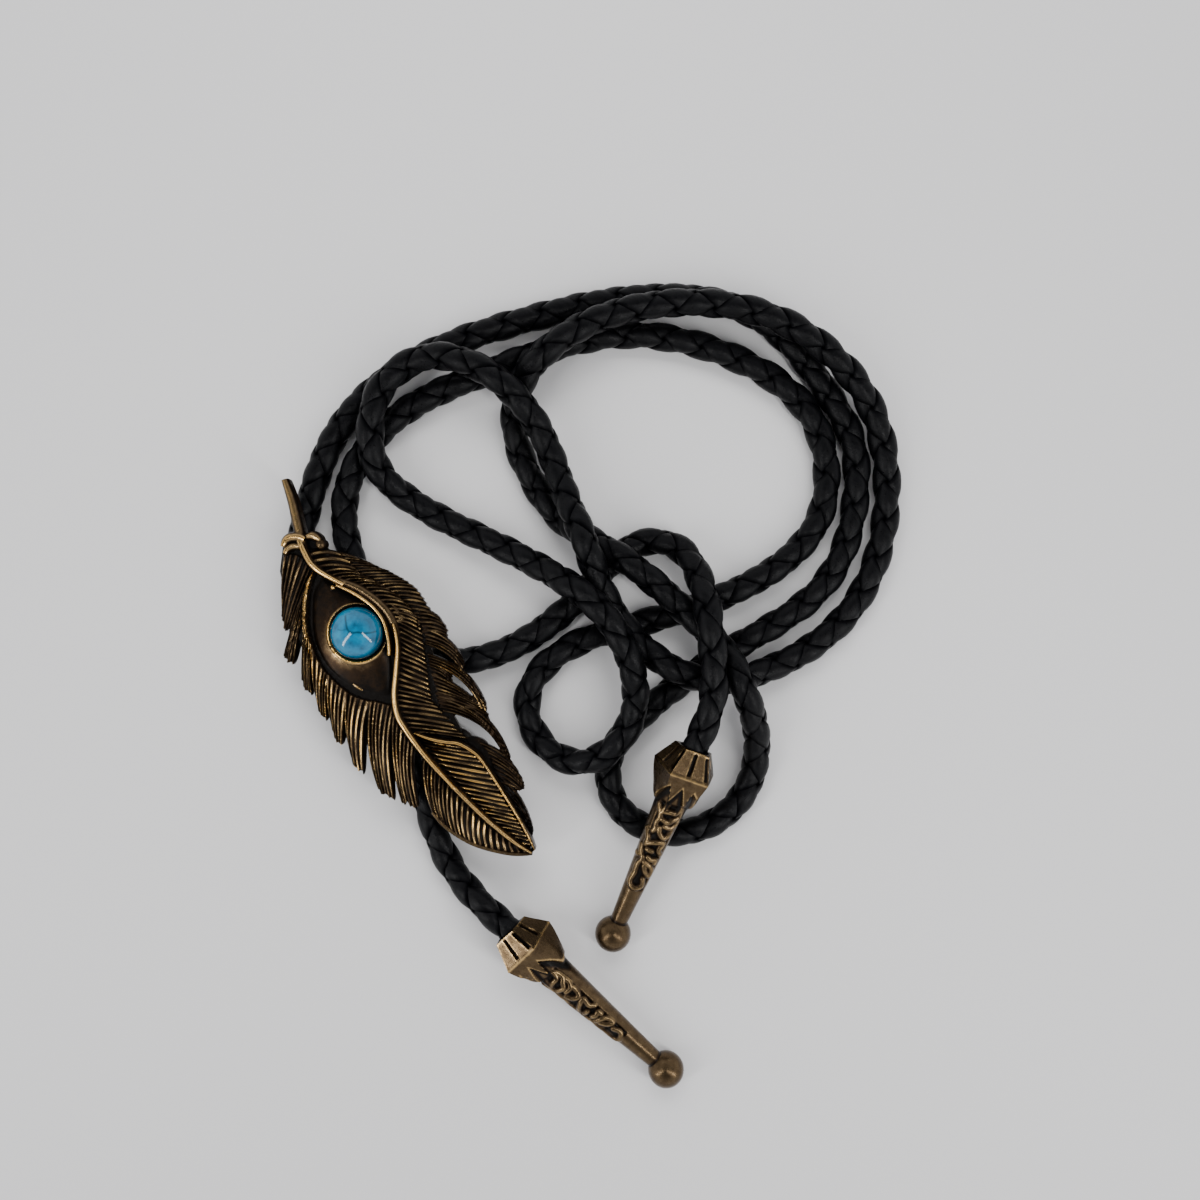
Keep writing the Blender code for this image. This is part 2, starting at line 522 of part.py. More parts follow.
def scroll(table, profile, back):
    """Return a raised scroll that lies on the shaft, on its front or on its back."""
    rows = [np.array(row, float) for row in table]
    shaft = [row for row in profile if row[0] >= TIP_FERRULE_LENGTH and row[1] > 0][:4]
    length = TIP_LENGTH - TIP_BALL_DIAMETER / 2 - TIP_FERRULE_LENGTH

    def lay(u, w, rise):
        here = curve_point(rows, u)
        run = curve_point(rows, min(1.0, u + 0.02)) - curve_point(rows, max(0.0, u - 0.02))
        along = TIP_FERRULE_LENGTH + here[0] * length
        radius = float(np.interp(along, [row[0] for row in shaft], [row[1] for row in shaft]))
        side = turned((run[0] * length, run[1] * radius)) * (2 * w - 1) * here[2] * SCROLL_WIDTH / 2
        angle = math.pi / 2 + here[1] + side[1] / radius + (math.pi if back else 0.0)
        reach = radius + rise
        return Vector((along + side[0], reach * math.cos(angle), reach * math.sin(angle)))

    bm = bmesh.new()
    bmesh.ops.create_grid(bm, x_segments=10, y_segments=2, size=0.5)
    for vert in bm.verts:
        u, w = vert.co.x + 0.5, vert.co.y + 0.5
        vert.co = lay(u, w, SCROLL_RISE if abs(w - 0.5) < 0.1 else 0.5 * SCROLL_RISE)
    under = bmesh.ops.extrude_face_region(bm, geom=bm.faces[:])["geom"]
    for vert in [item for item in under if isinstance(item, bmesh.types.BMVert)]:
        away = Vector((0.0, vert.co.y, vert.co.z))
        vert.co -= away.normalized() * 3 * SCROLL_RISE
    return bm


def build_tip(name, mouth, ball):
    """Build one cast tip from its mouth to its ball end, with the cord's bore in its mouth."""
    profile = tip_profile()
    per_facet = TIP_SIDES // TIP_FACETS

    def radius_at(row, column, radius):
        on_edge = column % per_facet == 0
        if row in (5, 6) and not on_edge:
            return radius - SLOT_DEPTH
        if row == 10 and on_edge:
            return radius - SLOT_DEPTH
        if 3 <= row <= 10 and not on_edge:
            return radius * math.cos(math.pi / TIP_FACETS * 0.7)
        return radius

    solids = [revolve(profile, TIP_SIDES, radius_at)]
    solids += [scroll(table, profile, back) for table in SCROLLS for back in (False, True)]
    start, end = Vector(mouth), Vector(ball)
    along = (end - start).normalized()
    across = Vector((0.0, 0.0, 1.0)).cross(along).normalized()
    up = along.cross(across)
    turn = Matrix((along, across, up)).transposed().to_4x4()
    place = Matrix.Translation(start * MM) @ turn
    return join_solids(name, solids, "brass", place)


def smooth_route(count=1600):
    """Return many points along one natural cubic spline through the cord's route."""
    points = np.array([(x, y, CORD_RADIUS + laps * LAP) for x, y, laps in CORD_ROUTE])
    gaps = np.hypot(*np.diff(points[:, :2], axis=0).T)
    knots = np.concatenate(([0.0], np.cumsum(gaps)))
    size = len(points)
    system = np.eye(size)
    right = np.zeros((size, 3))
    for i in range(1, size - 1):
        system[i, i - 1:i + 2] = gaps[i - 1], 2 * (gaps[i - 1] + gaps[i]), gaps[i]
        right[i] = 6 * ((points[i + 1] - points[i]) / gaps[i] - (points[i] - points[i - 1]) / gaps[i - 1])
    bend = np.linalg.solve(system, right)
    along = np.linspace(0.0, knots[-1], count)
    index = np.clip(np.searchsorted(knots, along, side="right") - 1, 0, size - 2)
    gap = gaps[index][:, None]
    left = ((knots[index + 1] - along) / gaps[index])[:, None]
    ahead = 1 - left
    spots = (left * points[index] + ahead * points[index + 1]
             + gap ** 2 / 6 * ((left ** 3 - left) * bend[index] + (ahead ** 3 - ahead) * bend[index + 1]))
    spots[:, 2] = np.maximum(spots[:, 2], CORD_RADIUS)
    return spots


def cord_points():
    """Return the cord's points, spread evenly but closer together where it bends."""
    spots = smooth_route()
    steps = np.diff(spots, axis=0)
    lengths = np.linalg.norm(steps, axis=1)
    ways = steps / lengths[:, None]
    turns = np.linalg.norm(np.diff(ways, axis=0), axis=1)
    turns = np.convolve(np.concatenate((turns, turns[-1:])), np.ones(9) / 9, mode="same")
    weights = np.concatenate(([0.0], np.cumsum(lengths + CORD_BEND_WEIGHT * turns)))
    wanted = np.linspace(0.0, weights[-1], CORD_SAMPLES)
    return np.stack([np.interp(wanted, weights, spots[:, axis]) for axis in range(3)], axis=1)


def build_cord():
    """Build the cord as one tube along its route, from tip to tip."""
    points = cord_points()
    curve = bpy.data.curves.new("cord", "CURVE")
    curve.dimensions = "3D"
    curve.twist_mode = "MINIMUM"
    curve.bevel_depth = CORD_RADIUS * MM
    curve.bevel_resolution = CORD_BEVEL_RESOLUTION
    curve.use_fill_caps = True
    spline = curve.splines.new("POLY")
    spline.points.add(len(points) - 1)
    for spot, point in zip(points, spline.points):
        point.co = (*(spot * MM), 1.0)
    return add_object("cord", curve, "leather")


def main():
    """Build the whole tie."""
    clear_scene()
    build_feather()
    build_cabochon()
    build_back_clip()
    build_cord()
    for name, (mouth, ball) in TIP_PLACES.items():
        build_tip(name, mouth, ball)


if __name__ == "__main__":
    main()
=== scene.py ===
"""Looks of the bolo tie: the cast feather slide, its stone and clip, the braided cord and the two tips.

Sizes are in millimetres, and MM turns them to metres where a mesh is finished. The frame's origin is the
middle of the clip's flat back, with +Z up from the table, +X to the right and +Y towards the neck loop.
"""
import logging
import math
from dataclasses import dataclass
from enum import Enum
from typing import Callable, Sequence

import bmesh
import bpy
import numpy as np
from mathutils import Matrix, Vector
from mathutils.bvhtree import BVHTree


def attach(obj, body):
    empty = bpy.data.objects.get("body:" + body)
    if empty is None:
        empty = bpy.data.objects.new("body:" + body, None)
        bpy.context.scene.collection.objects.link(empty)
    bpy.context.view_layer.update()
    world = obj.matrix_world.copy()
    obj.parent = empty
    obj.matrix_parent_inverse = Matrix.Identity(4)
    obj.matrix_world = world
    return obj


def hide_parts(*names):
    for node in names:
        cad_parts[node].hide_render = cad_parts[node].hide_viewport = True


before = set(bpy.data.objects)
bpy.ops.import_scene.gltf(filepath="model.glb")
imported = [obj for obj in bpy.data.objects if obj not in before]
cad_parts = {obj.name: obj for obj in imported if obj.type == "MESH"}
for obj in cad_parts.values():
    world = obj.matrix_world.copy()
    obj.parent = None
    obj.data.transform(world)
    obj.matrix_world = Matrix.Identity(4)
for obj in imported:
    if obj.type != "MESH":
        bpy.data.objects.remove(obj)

LOG = logging.getLogger("bolo_tie")
MM = 0.001
SEED = 7
BRASS_NAME = "antique cast brass"
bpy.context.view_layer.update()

Array = np.ndarray
Rows = Sequence[Sequence[float]]
Place = Callable[[Array, Array], tuple[Array, Array]]
Finder = Callable[[float, float], tuple[float, float] | None]

# The colour sockets of a mix node, which share their names with those for numbers and vectors
MIX_SHARE, MIX_FROM, MIX_TO, MIX_RESULT = 0, 6, 7, 2


class Body(Enum):
    """The bodies that the pieces ride on."""

    TIE = "root"


class Slot(Enum):
    """The record's material slots."""

    CAST_BRASS = "cast_brass"
    TURQUOISE = "turquoise"
    CORD_LEATHER = "cord_leather"


class Mark(Enum):
    """The values that the finishes read from a mesh."""

    # The wear also carries the feather's painted highlights and painted shade
    WEAR_AND_PAINTED_LIGHT = "wear"
    # The vein also carries the stone's painted shade at its edge and upper right
    VEIN_AND_PAINTED_SHADE = "vein"
    LAY = "lay"


# The cord's route from the upper tip to the lower one, as the part's source gives it: x, y, and the height
# counted in laps, so that 0 lies on the table, 1 rides over one lap and 2 over two
IN_CLIP = 1.2 / 4.75
CORD_ROUTE: Rows = (
    (53.5, -21.3, 1.665), (55.0, -17.7, 1.853), (56.4, -14.1, 2.02), (57.3, -10.6, 2.1),
    (57.3, -4.0, 2.12), (56.6, 2.8, 2.0), (55.4, 8.6, 1.2), (53.0, 12.7, 0.5), (48.9, 14.3, 0.12),
    (44.2, 13.1, 0.0), (40.0, 9.2, 0.0), (34.2, 3.2, 0.0), (21.2, -4.6, 0.05), (12.8, -5.0, 0.18),
    (6.9, -1.2, IN_CLIP), (4.15, 2.8, IN_CLIP), (1.4, 6.8, IN_CLIP), (-1.8, 14.4, 0.15),
    (-2.3, 21.4, 0.0), (4.8, 33.6, 0.0), (21.6, 42.4, 0.0), (41.4, 48.2, 0.0), (60.8, 45.0, 0.0),
    (74.8, 34.2, 0.0), (77.0, 26.0, 0.0), (75.6, 17.8, 0.0), (70.0, 11.0, 0.0), (62.4, 6.4, 0.0),
    (46.0, 0.8, 0.0), (31.6, -5.2, 0.0), (27.8, -11.0, 0.0), (29.8, -18.4, 0.1), (35.8, -21.6, 0.6),
    (42.2, -18.6, 1.05), (45.2, -12.4, 1.1), (44.6, -5.6, 1.68), (40.8, 1.8, 1.95), (36.4, 6.0, 1.85),
    (31.4, 9.2, 1.1), (19.6, 15.2, 0.2), (8.4, 21.2, 0.2), (4.0, 25.6, 0.7), (2.8, 32.0, 1.05),
    (4.8, 39.0, 1.05), (10.8, 43.4, 1.05), (24.2, 39.0, 1.5), (29.2, 33.4, 1.0), (34.6, 20.4, 1.05),
    (37.0, 14.6, 1.68), (39.9, 6.6, 1.2), (51.2, -6.2, 1.06), (58.2, -8.4, 0.86), (65.2, -7.4, 0.22),
    (80.6, 2.6, 0.0), (86.9, 21.2, 0.0), (83.2, 37.2, 0.5), (77.0, 44.2, 0.9), (68.6, 49.6, 1.03),
    (59.0, 52.2, 1.0), (49.4, 52.2, 1.0), (39.6, 49.9, 1.0), (30.8, 44.4, 1.05), (26.4, 38.8, 0.45),
    (25.6, 33.0, 0.1), (28.2, 25.0, 0.0), (33.4, 17.8, 0.08), (41.6, 12.4, 0.98), (55.2, 1.2, 0.98),
    (59.9, -4.0, 1.32), (62.6, -9.8, 1.6), (64.9, -16.4, 0.75), (64.6, -24.6, 0.0), (60.8, -30.2, 0.0),
    (54.4, -33.4, 0.0), (46.8, -32.6, 0.0), (41.8, -27.8, 0.0), (41.4, -21.2, 0.0), (46.6, -14.2, 0.0),
    (62.8, -2.6, 0.0), (77.0, 7.8, 0.0), (81.9, 23.2, 0.0), (81.2, 31.0, 0.0), (77.6, 38.2, 0.0),
    (65.0, 51.6, 0.0), (46.2, 54.4, 0.0), (26.6, 50.6, 0.0), (8.4, 43.6, 0.0), (-3.8, 32.0, 0.0),
    (-8.6, 19.4, 0.0), (-10.0, 11.6, 0.08), (-6.9, 1.2, IN_CLIP), (-4.15, -2.8, IN_CLIP),
    (-1.4, -6.8, IN_CLIP), (5.4, -17.0, 0.08), (10.6, -27.4, 0.0), (15.0, -38.8, 0.0),
    (21.2, -45.4, 0.6), (24.2, -48.15, 0.6), (27.1, -50.8, 0.55),
)


def colour(code: str) -> tuple[float, float, float, float]:
    """Turn an sRGB hex value to the linear colour that a shader takes.

    Args:
        code: Six hex digits.

    Returns:
        Linear red, green and blue, with a full alpha.
    """
    parts = [int(code[i:i + 2], 16) / 255 for i in (0, 2, 4)]
    linear = [p / 12.92 if p <= 0.04045 else ((p + 0.055) / 1.055) ** 2.4 for p in parts]
    return linear[0], linear[1], linear[2], 1.0


def wire(node: bpy.types.Node, inputs: dict) -> None:
    """Set a node's inputs to values, or link them to the output sockets of other nodes.

    Args:
        node: The node.
        inputs: Values and sockets, by input name or index.
    """
    for key, value in inputs.items():
        if isinstance(value, bpy.types.NodeSocket):
            node.id_data.links.new(value, node.inputs[key])
        else:
            node.inputs[key].default_value = value


def add_node(tree: bpy.types.NodeTree, kind: str, settings: dict | None = None, inputs: dict | None = None,
             stops: Sequence[tuple[float, str]] = ()) -> bpy.types.Node:
    """Add one node with its settings, its inputs and the stops of its colour ramp.

    Args:
        tree: The material's node tree.
        kind: The node's type.
        settings: Properties of the node by name.
        inputs: Values, or output sockets to link, by input name or index.
        stops: Places and hex colours of a colour ramp, which starts out with two stops of its own.

    Returns:
        The new node.
    """
    node = tree.nodes.new(kind)
    for key, value in (settings or {}).items():
        setattr(node, key, value)
    wire(node, inputs or {})
    for index, (place, code) in enumerate(stops):
        ramp = node.color_ramp.elements
        stop = ramp[index] if index < 2 else ramp.new(place)
        stop.position = place
        stop.color = colour(code)
    return node


def noise(tree: bpy.types.NodeTree, spot: bpy.types.NodeSocket, size: float, detail: float,
          roughness: float) -> bpy.types.NodeSocket:
    """Add a cloudy pattern.

    Args:
        tree: The material's node tree.
        spot: Where each place is.
        size: How large the clouds are, in the units of spot.
        detail: How many finer layers there are.
        roughness: How strong the finer layers are.

    Returns:
        The pattern's value, around one half.
    """
    return add_node(tree, "ShaderNodeTexNoise", inputs={
        "Vector": spot, "Scale": 1 / size, "Detail": detail, "Roughness": roughness}).outputs["Fac"]


def remap(tree: bpy.types.NodeTree, value: bpy.types.NodeSocket, start: tuple[float, float],
          end: tuple[float, float] = (0.0, 1.0)) -> bpy.types.NodeSocket:
    """Carry one range of a value to another range, and hold it at the ends outside.

    Args:
        tree: The material's node tree.
        value: The value.
        start: The range that it comes in.
        end: What the two ends of that range become.

    Returns:
        The carried value.
    """
    return add_node(tree, "ShaderNodeMapRange", inputs={
        "Value": value, "From Min": start[0], "From Max": start[1],
        "To Min": end[0], "To Max": end[1]}).outputs["Result"]


def total(tree: bpy.types.NodeTree, first: bpy.types.NodeSocket, second: bpy.types.NodeSocket,
          clamped: bool = False) -> bpy.types.NodeSocket:
    """Add two values up.

    Args:
        tree: The material's node tree.
        first: One value.
        second: The other.
        clamped: Whether the sum stays between 0 and 1.

    Returns:
        The sum.
    """
    return add_node(tree, "ShaderNodeMath", {"operation": "ADD", "use_clamp": clamped}, {
        0: first, 1: second}).outputs["Value"]


def new_material(name: str) -> tuple[bpy.types.Material, bpy.types.NodeTree, bpy.types.Node]:
    """Make an empty material and hand back its tree and its surface shader.

    Args:
        name: The finish's plain name.

    Returns:
        The material, its node tree and its Principled BSDF.
    """
    material = bpy.data.materials.new(name)
    material.use_nodes = True
    tree = material.node_tree
    return material, tree, tree.nodes["Principled BSDF"]


def curve_at(rows: Array, share: Array) -> Array:
    """Find points on a smooth curve through evenly spread rows.

    Args:
        rows: The rows that the curve passes through.
        share: How far along the curve each wanted point is, from 0 to 1.

    Returns:
        One row for each share.
    """
    last = len(rows) - 1
    padded = np.vstack((2 * rows[0] - rows[1], rows, 2 * rows[-1] - rows[-2]))
    place = np.clip(share, 0.0, 1.0) * last
    index = np.minimum(place.astype(int), last - 1)
    t = (place - index)[:, None]
    a, b, c, d = (padded[index + k] for k in range(4))
    return 0.5 * (2 * b + (c - a) * t + (2 * a - 5 * b + 4 * c - d) * t ** 2
                  + (3 * b - a - 3 * c + d) * t ** 3)


def turned(run: Array) -> Array:
    """Turn plan directions a quarter turn to the left and give them length 1.

    Args:
        run: Directions, one a row.

    Returns:
        Unit directions, one a row.
    """
    left = np.stack((-run[:, 1], run[:, 0]), axis=1)
    return left / np.maximum(np.linalg.norm(left, axis=1), 1e-9)[:, None]


def smooth(low: float, high: float, value: Array) -> Array:
    """Rise smoothly from 0 to 1 between two values.

    Args:
        low: Where the rise starts.
        high: Where it ends.
        value: The values to judge.

    Returns:
        A share from 0 to 1 for each value.
    """
    t = np.clip((value - low) / (high - low), 0.0, 1.0)
    return t * t * (3 - 2 * t)


def distance_to(spots: Array, line: Array) -> Array:
    """Measure how far each spot is from a line of straight stretches.

    Args:
        spots: Places in a plane, one a row.
        line: The line's points, one a row.

    Returns:
        The distance of each spot.
    """
    best = np.full(len(spots), np.inf)
    for a, b in zip(line[:-1], line[1:]):
        run = b - a
        share = np.clip((spots - a) @ run / max(run @ run, 1e-12), 0.0, 1.0)
        best = np.minimum(best, np.linalg.norm(spots - a - share[:, None] * run, axis=1))
    return best


def follow(at: Array, places: Array, rows: Array) -> Array:
    """Read rows of values between the places where they are known.

    Args:
        at: Where to read.
        places: Where each row is known, rising.
        rows: The rows.

    Returns:
        One row for each wanted place.
    """
    return np.stack([np.interp(at, places, column) for column in rows.T], axis=1)


def add_sheet(bm: bmesh.types.BMesh, columns: int, rows: int, place: Place, mark: Mark) -> None:
    """Add a grid and lay each of its points where a rule puts it.

    Args:
        bm: The mesh that the grid joins.
        columns: Faces along the grid.
        rows: Faces across the grid.
        place: Gives coordinates and a marked value from shares along and across.
        mark: Which value is kept on the points.
    """
    kinds = bm.verts.layers.float_vector if mark is Mark.LAY else bm.verts.layers.float
    layer = kinds.get(mark.value) or kinds.new(mark.value)
    verts = bmesh.ops.create_grid(bm, x_segments=columns, y_segments=rows, size=0.5)["verts"]
    flat = np.array([vert.co.to_tuple() for vert in verts])
    spots, values = place(flat[:, 0] + 0.5, flat[:, 1] + 0.5)
    for vert, spot, value in zip(verts, spots.tolist(), values.tolist()):
        vert.co = spot
        vert[layer] = value


def weld(bm: bmesh.types.BMesh, distance: float = 0.002) -> None:
    """Close seams and poles, and turn the faces outwards.

    Args:
        bm: The mesh to close.
        distance: How near points are merged, in millimetres.
    """
    bmesh.ops.remove_doubles(bm, verts=bm.verts, dist=distance)
    bmesh.ops.recalc_face_normals(bm, faces=bm.faces)
    if bm.calc_volume(signed=True) < 0:
        bmesh.ops.reverse_faces(bm, faces=bm.faces)


def finish_piece(bm: bmesh.types.BMesh, name: str, matrix: Matrix, sharp: float) -> bpy.types.Object:
    """Turn a mesh in millimetres into a piece in metres, with its place in its mesh.

    Args:
        bm: The shape, which is freed.
        name: The piece's name.
        matrix: Where the shape goes, in millimetres.
        sharp: Edges over this angle in degrees stay crisp.

    Returns:
        The piece.
    """
    bmesh.ops.transform(bm, matrix=Matrix.Scale(MM, 4) @ matrix, verts=bm.verts)
    mesh = bpy.data.meshes.new(name)
    bm.to_mesh(mesh)
    bm.free()
    mesh.shade_smooth()
    mesh.set_sharp_from_angle(angle=math.radians(sharp))
    piece = bpy.data.objects.new(name, mesh)
    bpy.context.scene.collection.objects.link(piece)
    return piece


def hand_over(piece: bpy.types.Object, node: str, material: bpy.types.Material) -> None:
    """Give a piece its finish, let it stand for its CAD node and ride on the tie.

    Args:
        piece: The finished piece.
        node: The CAD node that it stands for.
        material: Its finish.
    """
    piece.data.materials.append(material)
    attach(piece, Body.TIE.value)
    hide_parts(node)
    LOG.info("%s: %d faces", piece.name, len(piece.data.polygons))


@dataclass(frozen=True)
class AntiqueBrass:
    """Cast brass, darkened and then tumbled: near-black in its recesses, warm and bright on its ridges.

    Its speckles break up the edge of the dark film, and its worn places are smoother and more metallic.
    """

    black: str = "0a0705"
    brown: str = "2a1e13"
    body: str = "5a4a35"
    bright: str = "a98c5f"
    polished: str = "e2b263"
    speckle_mm: float = 0.9
    grain_mm: float = 0.16
    bump_mm: float = 0.1
    specular: float = 0.12

    def material(self, name: str, mark: Mark | None = Mark.WEAR_AND_PAINTED_LIGHT) -> bpy.types.Material:
        """Make the finish.

        Args:
            name: The finish's name.
            mark: The value on the mesh that says how worn each place is and where light or shade is painted,
                or None for an even wear.

        Returns:
            The material.
        """
        material, tree, shader = new_material(name)
        spot = add_node(tree, "ShaderNodeTexCoord").outputs["Object"]
        speckle = noise(tree, spot, self.speckle_mm * MM, 5.0, 0.62)
        grain = noise(tree, spot, self.grain_mm * MM, 3.0, 0.6)
        uneven = total(tree, remap(tree, speckle, (0.25, 0.75), (-0.1, 0.1)),
                       remap(tree, grain, (0.25, 0.75), (-0.04, 0.04)))
        if mark:
            worn = add_node(tree, "ShaderNodeAttribute", {"attribute_name": mark.value}).outputs["Fac"]
        else:
            worn = remap(tree, speckle, (0.2, 0.8), (0.3, 0.5))
        wear = total(tree, worn, uneven, clamped=True)
        tone = add_node(tree, "ShaderNodeValToRGB", inputs={"Fac": wear}, stops=(
            (0.08, self.black), (0.28, self.brown), (0.5, self.body), (0.7, self.bright),
            (0.92, self.polished)))
        bump = add_node(tree, "ShaderNodeBump", inputs={
            "Height": uneven, "Strength": 0.4, "Distance": self.bump_mm * MM})
        wire(shader, {
            "Base Color": tone.outputs["Color"], "Roughness": remap(tree, wear, (0.1, 0.9), (0.35, 0.17)),
            "Metallic": remap(tree, wear, (0.05, 0.5), (0.35, 1.0)), "Specular IOR Level": self.specular,
            "Normal": bump.outputs["Normal"]})
        return material


@dataclass(frozen=True)
class Turquoise:
    """Polished stabilised turquoise: deep sky blue, glossy, with one dark vein, painted shade and faint
    clouds.
    """

    base: str = "006285"
    pale: str = "047b9c"
    deep: str = "003f59"
    # The colour of the vein, and of the painted shade at the stone's edge and upper right
    vein: str = "0c2a36"
    cloud_mm: float = 1.9
    roughness: float = 0.09

    def material(self) -> bpy.types.Material:
        """Make the finish."""
        material, tree, shader = new_material("polished turquoise")
        spot = add_node(tree, "ShaderNodeTexCoord").outputs["Object"]
        cloud = noise(tree, spot, self.cloud_mm * MM, 4.0, 0.55)
        body = add_node(tree, "ShaderNodeValToRGB", inputs={"Fac": cloud}, stops=(
            (0.28, self.deep), (0.5, self.base), (0.75, self.pale)))
        # The mark holds the vein and the painted shade, which both take the vein's colour
        flaw = add_node(tree, "ShaderNodeAttribute", {"attribute_name": Mark.VEIN_AND_PAINTED_SHADE.value})
        mix = add_node(tree, "ShaderNodeMix", {"data_type": "RGBA"}, {
            MIX_SHARE: flaw.outputs["Fac"], MIX_FROM: body.outputs["Color"], MIX_TO: colour(self.vein)})
        wire(shader, {"Base Color": mix.outputs[MIX_RESULT], "Roughness": self.roughness, "IOR": 1.5,
                      "Specular IOR Level": 0.5})
        return material


@dataclass(frozen=True)
class BraidLeather:
    """Thin bonded leather strips, dyed black: satin, with fine grain, creases along each strip and painted
    shade along their edges.
    """

    black: str = "030304"
    lifted: str = "0b0b0d"
    # The painted shade in the crevices along each strip's edges
    edge: str = "010102"
    grain_mm: float = 0.32
    crease_mm: float = 0.5
    bump_mm: float = 0.09
    half_width_mm: float = 2.12
    roughness: float = 0.29
    sheen: float = 0.135

    def material(self) -> bpy.types.Material:
        """Make the finish."""
        material, tree, shader = new_material("black braid leather")
        spot = add_node(tree, "ShaderNodeTexCoord").outputs["Object"]
        lay = add_node(tree, "ShaderNodeAttribute", {"attribute_name": Mark.LAY.value}).outputs["Vector"]
        along = add_node(tree, "ShaderNodeMapping", inputs={"Vector": lay, "Scale": (0.35, 1.0, 1.0)})
        crease = noise(tree, along.outputs["Vector"], self.crease_mm, 4.0, 0.6)
        grain = noise(tree, spot, self.grain_mm * MM, 5.0, 0.65)
        tone = add_node(tree, "ShaderNodeValToRGB", inputs={"Fac": crease}, stops=(
            (0.3, self.black), (0.8, self.lifted)))
        across = add_node(tree, "ShaderNodeSeparateXYZ", inputs={"Vector": lay}).outputs["Y"]
        size = add_node(tree, "ShaderNodeMath", {"operation": "ABSOLUTE"}, {0: across})
        # Painted shade: each strip darkens towards its edges, where the strips tuck under each other
        rim = remap(tree, size.outputs["Value"], (0.6 * self.half_width_mm, self.half_width_mm))
        dark = add_node(tree, "ShaderNodeMix", {"data_type": "RGBA"}, {
            MIX_SHARE: rim, MIX_FROM: tone.outputs["Color"], MIX_TO: colour(self.edge)})
        bump = add_node(tree, "ShaderNodeBump", inputs={
            "Height": total(tree, crease, grain), "Strength": 0.6, "Distance": self.bump_mm * MM})
        wire(shader, {
            "Base Color": dark.outputs[MIX_RESULT], "IOR": 1.45, "Normal": bump.outputs["Normal"],
            "Roughness": remap(tree, grain, (0.3, 0.7), (self.roughness - 0.05, self.roughness + 0.16)),
            "Specular IOR Level": self.sheen})
        # The strips shine on their flats and not in the crevices. The value set above is the flats' one.
        wire(shader, {"Specular IOR Level": remap(tree, rim, (0.0, 0.8), (self.sheen, 0.0))})
        return material


@dataclass(frozen=True)
class TableTop:
    """A smooth pale grey table, matt enough to hold only soft shadows."""

    tone: str = "d1d0d0"

    def material(self) -> bpy.types.Material:
        """Make the finish."""
        material, _, shader = new_material("pale table")
        wire(shader, {"Base Color": colour(self.tone), "Roughness": 0.75})
        return material


@dataclass
class BarLight:
    """One long studio light between two ends, turned to face its aim."""

    name: str
    high_end: tuple[float, float, float]
    low_end: tuple[float, float, float]
    width: float
    power: float
    aim: tuple[float, float, float] = (30.0, 0.0, 0.0)
    mirrored: bool = True

    def build(self) -> bpy.types.Object:
        """Hang the light and turn it to its aim."""
        high, low = Vector(self.high_end), Vector(self.low_end)
        middle = (high + low) / 2
        data = bpy.data.lights.new(self.name, "AREA")
        data.shape = "RECTANGLE"
        data.size = self.width * MM
        data.size_y = (high - low).length * MM
        data.energy = self.power
        lamp = bpy.data.objects.new(self.name, data)
        bpy.context.scene.collection.objects.link(lamp)
        back = (middle - Vector(self.aim)).normalized()
        along = (high - low).normalized()
        side = along.cross(back).normalized()
        turn = Matrix((side, back.cross(side), back)).transposed().to_4x4()
        lamp.matrix_world = Matrix.Translation(middle * MM) @ turn
        lamp.visible_glossy = self.mirrored
        return lamp


@dataclass
class Studio:
    """The camera over the table, the table, a pale tent that is dim overhead, and two bar lights."""

    camera_place: tuple[float, float, float] = (39.667, 4.667, 191.7)
    lens: float = 34.5
    sensor_width: float = 36.0
    clip_start: float = 0.005
    table_size: float = 2400.0
    # The tent's light by the sine of the height above the horizon
    tent: Sequence[tuple[float, str]] = ((0.0, "f4f5f8"), (0.55, "f0f1f4"), (0.8, "a6a7aa"), (0.97, "5a5b5e"))
    tent_strength: float = 1.38
    lamps: Sequence[BarLight] = (
        BarLight("left bar", (-82.0, -6.0, 298.0), (-208.0, -174.0, 127.0), 24.0, 0.34),
        BarLight("right bar", (88.0, -4.0, 297.0), (234.0, -151.0, 112.0), 24.0, 0.34),
        BarLight("top fill", (40.0, 160.0, 330.0), (40.0, 300.0, 250.0), 300.0, 0.9, (40.0, 90.0, 0.0),
                 mirrored=False),
    )

    def hang_tent(self) -> None:
        """Make the world the tent."""
        world = bpy.data.worlds.new("studio")
        bpy.context.scene.world = world
        world.use_nodes = True
        tree = world.node_tree
        way = add_node(tree, "ShaderNodeTexCoord").outputs["Generated"]
        parts = add_node(tree, "ShaderNodeSeparateXYZ", inputs={"Vector": way})
        tent = add_node(tree, "ShaderNodeValToRGB", inputs={"Fac": parts.outputs["Z"]}, stops=self.tent)
        wire(tree.nodes["Background"], {"Color": tent.outputs["Color"], "Strength": self.tent_strength})

    def build(self) -> None:
        """Set up the camera, the table, the tent and the lights."""
        scene = bpy.context.scene
        data = bpy.data.cameras.new("camera")
        data.lens = self.lens
        data.sensor_width = self.sensor_width
        data.clip_start = self.clip_start
        camera = bpy.data.objects.new("camera", data)
        camera.location = Vector(self.camera_place) * MM
        scene.collection.objects.link(camera)
        scene.camera = camera

        bm = bmesh.new()
        bmesh.ops.create_grid(bm, x_segments=1, y_segments=1, size=self.table_size / 2)
        table = finish_piece(bm, "table", Matrix.Identity(4), 30.0)
        table.data.materials.append(TableTop().material())

        self.hang_tent()
        for lamp in self.lamps:
            lamp.build()


